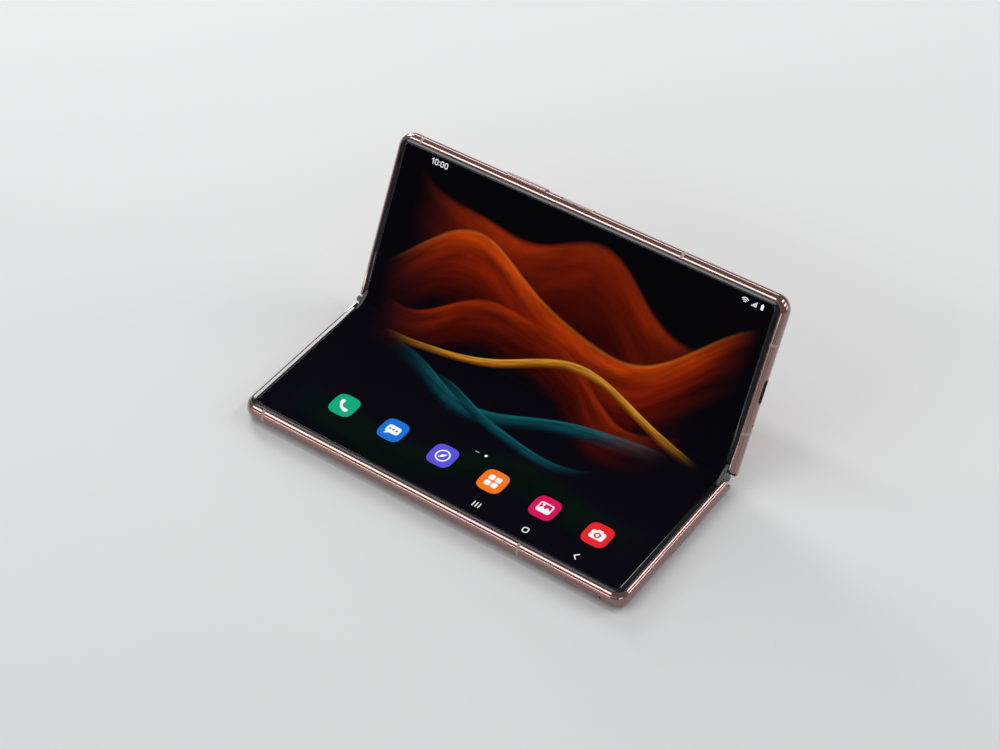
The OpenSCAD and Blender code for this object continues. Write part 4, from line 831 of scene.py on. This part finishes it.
ICON_X, ICON_V, ICON_HALF = [-48.6, -27.4, -6.2, 14.8, 36.0, 57.0], 44.9, 4.85
TILES = {"green": (0.005, 0.38, 0.19), "blue": (0.010, 0.17, 0.68), "violet": (0.10, 0.085, 0.68),
         "orange": (0.90, 0.17, 0.010), "magenta": (0.66, 0.006, 0.10), "red": (0.80, 0.018, 0.022)}
TILE_DEPTH = 0.02

for (tint, colour), x in zip(TILES.items(), ICON_X):
    tile = Marks(x, ICON_V).squircle(ICON_HALF)
    flat("icon_tile_" + tint, [tile], glow("icon_" + tint, colour), TILE_DEPTH)

white = glow("mark_white", (0.92, 0.95, 0.97), 0.05)
glyphs = [Marks(x, ICON_V, GLYPH_TOP) for x in ICON_X]
handset, bubble, compass, tiles, picture, camera_sign = glyphs
handset.arc(1.35, 1.35, 3.0, 1.0, 188, 262)
handset.slab(-2.45, -0.95, 0.35, 2.3, 0.55).slab(0.45, 2.4, -2.4, -0.9, 0.55)
bubble.slab(-2.7, 2.7, -1.6, 2.0, 1.1).shape([(-1.9, -1.2), (-0.5, -1.5), (-2.2, -2.7)])
dots = Marks(ICON_X[1], ICON_V, HOLE_TOP)
for a in (-1.4, 0.0, 1.4):
    dots.disc(a, 0.2, 0.42, 16)
compass.band(circle(0, 0, 2.7, 36), circle(0, 0, 2.15, 36))
compass.shape([(1.3, 1.3), (-0.45, 0.45), (-1.3, -1.3), (0.45, -0.45)])
for a in (-2.45, 0.25):
    for b in (-2.45, 0.25):
        tiles.slab(a, a + 2.2, b, b + 2.2, 0.55)
picture.frame(-2.7, 2.7, -2.2, 2.2, 0.9, 0.5)
picture.shape([(-2.2, -1.7), (2.2, -1.7), (2.2, -0.6), (1.0, 0.5), (0.1, -0.6), (-0.9, 0.4),
               (-2.2, -0.9)])
picture.disc(-1.1, 1.05, 0.5, 18)
camera_sign.slab(-2.7, 2.7, -2.0, 1.6, 0.8).slab(-1.1, 1.1, 1.3, 2.2, 0.35)
lens_ring = Marks(ICON_X[5], ICON_V, HOLE_TOP).disc(0, -0.2, 1.25)
lens_eye = Marks(ICON_X[5], ICON_V, EYE_TOP).disc(0, -0.2, 0.62, 20)
flat("icon_glyphs", [*glyphs, lens_eye], white)
flat("icon_dots_blue", [dots], bpy.data.materials["icon_blue"])
flat("icon_ring_red", [lens_ring], bpy.data.materials["icon_red"])

PAGE_V, NAVIGATION_V, STATUS_V = 36.85, 56.3, 58.35
page = Marks(0, PAGE_V).slab(1.55, 3.15, -0.22, 0.22, 0.2)
page_on = Marks(5.9, PAGE_V - 0.05).disc(0, 0, 0.52, 20)
navigation = Marks(0, NAVIGATION_V)
for a in (15.25, 16.4, 17.55):
    navigation.stroke([(a, -0.95), (a, 0.95)], 0.38)
navigation.frame(35.15, 37.45, -1.15, 1.15, 0.75, 0.36)
navigation.stroke([(56.9, 1.15), (55.7, 0.0), (56.9, -1.15)], 0.4)
flat("navigation_marks", [navigation, page_on], white)
flat("page_mark", [page], glow("mark_grey", (0.30, 0.32, 0.36), 0.1))

status = Marks(0, STATUS_V, up=1)
at = -63.7                      # left edge of the next sign of the clock
for sign in "10:00":
    if sign == "1":
        status.stroke([(at + 0.10, 0.52), (at + 0.66, 0.93), (at + 0.66, -0.93)], 0.32)
        at += 1.35
    elif sign == "0":
        status.frame(at, at + 1.42, -1.1, 1.1, 0.68, 0.31)
        at += 1.76
    else:
        status.disc(at + 0.17, 0.5, 0.2, 14).disc(at + 0.17, -0.62, 0.2, 14)
        at += 0.66
for r in (0.55, 1.15, 1.75):    # wireless, signal bars and battery
    status.arc(64.7, -0.95, r, 0.3, 48, 132, 8)
for k in range(4):
    status.slab(67.35 + 0.5 * k, 67.68 + 0.5 * k, -0.9, -0.4 + 0.42 * k, 0.08)
status.slab(70.75, 71.75, -0.95, 0.8, 0.22).slab(71.02, 71.48, 0.85, 1.1, 0.08)
flat("status_marks", [status], white, half="upper_half")


# ------------------------ outer glass
GLASS_INSET, GLASS_V0, GLASS_NEAR_R = 2.28, 5.68, 0.35
GLASS_LEVELS = [(0.34, 0.0), (0.17, 0.03), (0.06, 0.10), (0.01, 0.20), (0.0, 0.30), (0.0, 0.6)]
ISLAND_X, ISLAND_V, ISLAND_L, ISLAND_W, ISLAND_GAP = -51.0, 49.5, 44.0, 15.5, 0.08


def pane(inset):
    """The glass's plan, with two round corners at the free edge."""
    side = GLASS_INSET + inset
    radii = [CORNER - side] * 2 + [GLASS_NEAR_R] * 2
    return rounded(side - HL, HL - side, GLASS_V0 + inset, HW - side, radii, 0, 10)


def island(grow, levels):
    return pill(about(ISLAND_X, ISLAND_V, ISLAND_L, ISLAND_W, grow), levels, steps=16)


glass = stack(pane, GLASS_LEVELS)
make("cover_glass_plate", glass, "lower_half", "cover_glass", "cover_display_glass", 30)
rear_glass = carved(glass, [island(ISLAND_GAP, [(0, -0.5), (0, 1.2)])], upper)
add("rear_glass_plate", rear_glass, "upper_half", "back_glass", "rear_glass", 30)
# the cover screen's receiver, seen through the dark glass
receiver = tablet((-HL + 3.3, -HL + 3.8, 26.5, 37.5), 0.24, [(0.0, 0.02), (0.0, 0.2)], steps=6)
make("receiver_slot", receiver, "lower_half", "mesh")

# ------------------------ rear cameras; profiles are (radius, z)
RING_R, LENS_PITCH = 5.0, 12.0
LENS_X = [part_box("lens_rings")[0].x / MM + RING_R + i * LENS_PITCH for i in range(3)]
FLASH_X = (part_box("flash_lens")[0].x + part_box("flash_lens")[1].x) / 2 / MM
ISLAND_LEVELS = [(0.30, -1.0), (0.14, -0.97), (0.04, -0.88), (0.0, -0.74), (0.0, 0.9)]
RING = [(4.98, -0.6), (4.98, -1.12), (4.93, -1.22), (4.80, -1.29), (4.55, -1.30), (4.25, -1.28),
        (4.08, -1.22), (3.98, -1.12), (3.93, -1.0), (3.92, -0.6)]
LENS = [(3.84, -0.55), (3.84, -0.94), (3.78, -0.985), (3.60, -1.0), (0.01, -1.0)]
EYE = [(2.35, -1.0), (2.30, -1.012), (1.6, -1.014), (1.55, -1.004), (0.01, -1.004)]
FLASH = [(1.78, -0.3), (1.78, -0.90), (1.66, -0.98), (1.3, -1.0), (0.01, -1.0)]


def at_lenses(profile, steps=64, close_ends=True):
    return [turned(profile, (x, ISLAND_V), steps, close_ends) for x in LENS_X]


cuts = at_lenses([(5.04, -1.6), (5.04, -0.6)]) + at_lenses([(3.9, -1.6), (3.9, 1.5)])
cuts.append(turned([(1.85, -1.6), (1.85, -0.2)], (FLASH_X, ISLAND_V), 40))
plate = carved(island(0.0, ISLAND_LEVELS), cuts, upper)
add("camera_island_plate", plate, "upper_half", "island_metal", "camera_island", 30)
make("lens_ring_set", join(*at_lenses(RING + RING[:1], 72, False)), "upper_half", "ring_metal",
     "lens_rings", 40)
make("lens_glass_set", join(*at_lenses(LENS, 72)), "upper_half", "lens_glass", "lens_glasses", 30)
make("lens_eyes", join(*at_lenses(EYE, 48)), "upper_half", "camera_black", sharp=30)
make("flash_window", turned(FLASH, (FLASH_X, ISLAND_V), 40), "upper_half", "flash_plastic",
     "flash_lens", 40)


# ------------------------ keys and tray
def key(name):
    """A pill-shaped cap with a flange behind it that holds it in the frame."""
    x, l, h, proud = KEYS[name]
    face = HW + proud
    levels = [(0.0, HW - 2.95), (0.0, face - 0.32), (0.05, face - 0.16), (0.16, face - 0.05),
              (0.34, face), (0.6, face)]
    x0, x1, z0, z1 = about(x, MID, l, h)
    flange = block(x0 - 0.6, x1 + 0.6, HW - 3.3, HW - 2.9, z0 - 0.4, z1 + 0.4, 0.4)
    cap = join(pill((x0, x1, z0, z1), levels, "v"), flange)
    make(name + "_cap", cap, name, "key_metal", name, 40)


for name in KEYS:
    key(name)

TRAY_BACK, TRAY_HALF = HW - 18.6, TRAY_W / 2 - 0.25
TRAY_EDGE = [(0.06, TRAY_Z - 0.5), (0, TRAY_Z - 0.44), (0, TRAY_Z + 0.44), (0.06, TRAY_Z + 0.5)]
pocket = (TRAY_X - 4.5, TRAY_X + 4.5, TRAY_BACK + 1.3, TRAY_BACK + 13.8)
window = (pocket[0] + 0.9, pocket[1] - 0.9, pocket[2] + 0.9, pocket[3] - 0.9)
face = tablet(about(TRAY_X, TRAY_Z, TRAY_W, TRAY_H), 0.5, [(0, HW - 2.4), (0, HW + 1)], "v")
carrier = tablet((TRAY_X - TRAY_HALF, TRAY_X + TRAY_HALF, TRAY_BACK, HW - 2.3),
                 [0.4, 0.4, 1.6, 1.6], TRAY_EDGE)
openings = [tablet(pocket, 0.8, [(0, TRAY_Z - 0.2), (0, TRAY_Z + 2)]),
            tablet(window, 0.8, [(0, TRAY_Z - 2), (0, TRAY_Z + 2)])]
tray = merged("card_tray_look", carved(SIDE, [face], lower, "INTERSECT"),
              carved(carrier, openings, lower))
add("card_tray_look", tray, "card_tray", "key_metal", "card_tray", 30)

# ------------------------ spine
COVER_R, COVER_T, COVER_HALF, SPINE_HALF = 5.4, 0.5, HL - 3.2, HL - 2.6
COVER_LIP = 1.2         # the cover's edges end this far below the turning axes


def cover_arc(r, start, count=24):
    """Line of the spine's outside at radius r, from `start` degrees below the axes: two round
    shoulders about the turning axes and a flat between them."""
    turns = [radians(start + (90 - start) * i / count) for i in range(count + 1)]
    left = [(-OFF - r * cos(a), T - r * sin(a)) for a in turns]
    return left + [(-y, z) for y, z in reversed(left)]


def lip_angle(r):
    return degrees(asin(COVER_LIP / r))


cover_inside = cover_arc(COVER_R - COVER_T, lip_angle(COVER_R - COVER_T))[::-1]
# the cover's rings, as (x, how much smaller its outside is there)
cover_ends = [(COVER_HALF, 0.12), (COVER_HALF - 0.05, 0.04), (COVER_HALF - 0.15, 0.0)]
cover_ends = [(-x, shrink) for x, shrink in cover_ends] + [(0.0, 0.0)] + cover_ends[::-1]
cover = loft([[(x, y, z) for y, z in cover_arc(COVER_R - shrink, lip_angle(COVER_R)) + cover_inside]
              for x, shrink in cover_ends])
make("spine_cover_shell", cover, "spine", "spine_metal", "spine_cover", 30)


def end_caps():
    """T-shaped caps: an end wall, two arms beside the screen and a stem between the frames."""
    top = T - 0.12
    wall = cover_arc(COVER_R - 0.12, lip_angle(COVER_R) + 2, 12)
    wall_ends = [(COVER_HALF, 1.0), (COVER_HALF + 0.06, 1.0), (SPINE_HALF - 0.1, 1.0),
                 (SPINE_HALF, 0.985)]
    arm_levels = [(0.0, top - 1.0), (0.0, top - 0.22), (0.07, top - 0.07), (0.22, top), (0.5, top)]
    stem_levels = [(0.1, T - 2.4), (0.0, T - 2.3), (0.0, top - 0.25), (0.08, top - 0.08),
                   (0.24, top), (0.4, top)]
    cap = join(
        loft([[(x, y * k, T - (T - z) * k) for y, z in wall] for x, k in wall_ends]),
        tablet((DISPLAY_X + 0.12, SPINE_HALF, -4.2, 4.2), 0.5, arm_levels, steps=5),
        tablet((SPINE_HALF - 0.4, HL - 0.9, -1.05, 1.05), 0.55, stem_levels, steps=5),
        block(COVER_HALF, SPINE_HALF, -1.5, 1.5, T - 2.0, top, 0.1))
    pair = [([(s * x, y, z) for x, y, z in cap[0]], cap[1]) for s in (-1, 1)]
    make("spine_end_cap_set", join(*pair), "spine", "cap_plastic", "spine_end_caps")


end_caps()

# ------------------------ CAD pieces that keep their own shape
for obj in frame["nodes"].values():
    if obj.hide_render:
        continue
    names = [m.name.split(".")[0] for m in obj.data.materials if m]
    slot = next((n for n in names if n in M), "hinge_steel")
    obj.data.materials.clear()
    obj.data.materials.append(M[slot])

# ------------------------ studio
FLOOR_HALF, FLOOR_CELLS = 6.0, 24           # metres, and cells across the floor
FADE_FROM, FADE_TO = 0.42, 0.85             # metres over which the floor fades into the pale world
PALE = rgb(0.785, 0.79, 0.795)
FILL, FILL_IN_GLOSS = 0.52, 0.30            # the world's strength as light, and in reflections
ALONG, ACROSS, RAISED = (1, 0, 0), (0, 1, 0), (0.46, 0.0, 0.89)
# softboxes: direction from the phone, distance, long and short side (m), power (W) and the long
# side's direction
LAMPS = {
    "ceiling": ((-0.05, -0.20, 1.0), 1.6, 0.9, 0.5, 1.6, ALONG),
    "left_window": ((-0.76, 0.52, 0.40), 1.1, 0.46, 0.30, 5.6, RAISED),
    "right_back": ((0.46, 0.56, 0.69), 1.1, 0.50, 0.10, 2.4, ACROSS),
    "front_high": ((-0.44, -0.70, 0.56), 1.1, 0.70, 0.15, 2.2, ALONG),
    "front_low": ((-0.44, -0.893, 0.075), 1.1, 0.70, 0.08, 1.1, ALONG),
    "side_high": ((0.70, 0.56, 0.45), 1.1, 0.50, 0.11, 1.5, ACROSS),
    "side_low": ((0.82, 0.56, 0.15), 1.1, 0.50, 0.09, 1.0, ACROSS),
    "right_low": ((0.83, -0.55, 0.10), 1.1, 0.40, 0.10, 0.35, ACROSS),
    "back_low": ((-0.44, 0.80, 0.41), 1.1, 0.70, 0.12, 1.3, ALONG),
    "top_strip": ((-0.40, 0.11, 0.90), 1.2, 0.80, 0.14, 3.0, ALONG),
}


def floor():
    g = Graph("floor_pale")
    slow = g.noise(g.coords(), 6.0, 3.0)
    fine = g.noise(g.coords(), 900.0, 4.0)
    c = g.mix(slow, rgb(0.560, 0.560, 0.560), rgb(0.588, 0.586, 0.583))
    c = g.mix(g.remap(fine, 0.3, 0.7, 0.0, 0.2), c, rgb(0.54, 0.54, 0.54))
    mat = g.surface(Base_Color=c, Roughness=0.85, Specular_IOR_Level=0.2)
    away = g.fill(g.node("ShaderNodeVectorMath", operation="LENGTH"), Vector=g.coords())
    faded = g.smooth(away.outputs["Value"], FADE_FROM, FADE_TO)
    lit = g.out.inputs["Surface"].links[0].from_socket
    clear = g.node("ShaderNodeBsdfTransparent").outputs[0]
    fade = g.node("ShaderNodeMixShader")
    for socket, value in zip(fade.inputs, (faded, lit, clear)):
        g.put(socket, value)
    g.put(g.out.inputs["Surface"], fade.outputs[0])
    n, row = FLOOR_CELLS, FLOOR_CELLS + 1
    line = [-FLOOR_HALF + 2 * FLOOR_HALF * i / n for i in range(row)]
    mesh = bpy.data.meshes.new("floor")
    mesh.from_pydata([(x, y, 0.0) for x in line for y in line], [],
                     [(i * row + j, (i + 1) * row + j, (i + 1) * row + j + 1, i * row + j + 1)
                      for i in range(n) for j in range(n)])
    mesh.materials.append(mat)
    in_scene("floor", mesh)


def studio_world():
    """Pale where the camera sees it, and a plain fill as light, weaker in reflections."""
    world = bpy.data.worlds.new("studio")
    bpy.context.scene.world = world
    world.use_nodes = True
    nodes, link = world.node_tree.nodes, world.node_tree.links.new
    seen, lit = nodes["Background"], nodes.new("ShaderNodeBackground")
    path = nodes.new("ShaderNodeLightPath")
    seen.inputs["Color"].default_value, seen.inputs["Strength"].default_value = PALE, 1.0
    lit.inputs["Color"].default_value = rgb(0.95, 0.97, 1.0)
    level = nodes.new("ShaderNodeMapRange")
    level.inputs["To Min"].default_value, level.inputs["To Max"].default_value = FILL, FILL_IN_GLOSS
    link(path.outputs["Is Glossy Ray"], level.inputs["Value"])
    link(level.outputs[0], lit.inputs["Strength"])
    pick = nodes.new("ShaderNodeMixShader")
    sources = path.outputs["Is Camera Ray"], lit.outputs[0], seen.outputs[0]
    for socket, out in zip(pick.inputs, sources):
        link(out, socket)
    link(pick.outputs[0], nodes["World Output"].inputs["Surface"])


def lamp(name, towards, far, long_side, short_side, power, along):
    """A softbox in the direction `towards`, facing the phone, its long side laid along `along`."""
    light = bpy.data.lights.new(name, "AREA")
    light.shape, light.size, light.size_y, light.energy = "RECTANGLE", long_side, short_side, power
    z = Vector(towards).normalized()
    x = (Vector(along) - Vector(along).dot(z) * z).normalized()
    turn = Matrix((x, z.cross(x), z)).transposed().to_4x4()
    in_scene(name, light).matrix_world = Matrix.Translation(z * far) @ turn


def camera():
    """The photograph's camera, as fitted to the phone's corners; angles in radians."""
    yaw, pitch, roll = -0.66683, 0.77501, -0.04945
    place = Vector((365.733, -452.139, 606.878)) * MM
    forward = Vector((sin(yaw) * cos(pitch), cos(yaw) * cos(pitch), -sin(pitch)))
    right = Vector((cos(yaw), -sin(yaw), 0))
    up = right.cross(forward)
    right, up = cos(roll) * right + sin(roll) * up, -sin(roll) * right + cos(roll) * up
    cam = bpy.data.cameras.new("photo_camera")
    cam.sensor_width, cam.lens, cam.clip_start, cam.clip_end = 36.0, 89.04, 0.01, 20.0
    obj = in_scene("photo_camera", cam)
    turn = Matrix((right, up, -forward)).transposed().to_4x4()
    obj.matrix_world = Matrix.Translation(place) @ turn
    bpy.context.scene.camera = obj


floor()
studio_world()
for name, values in LAMPS.items():
    lamp(name, *values)
camera()
bpy.context.scene.view_settings.view_transform = "Standard"
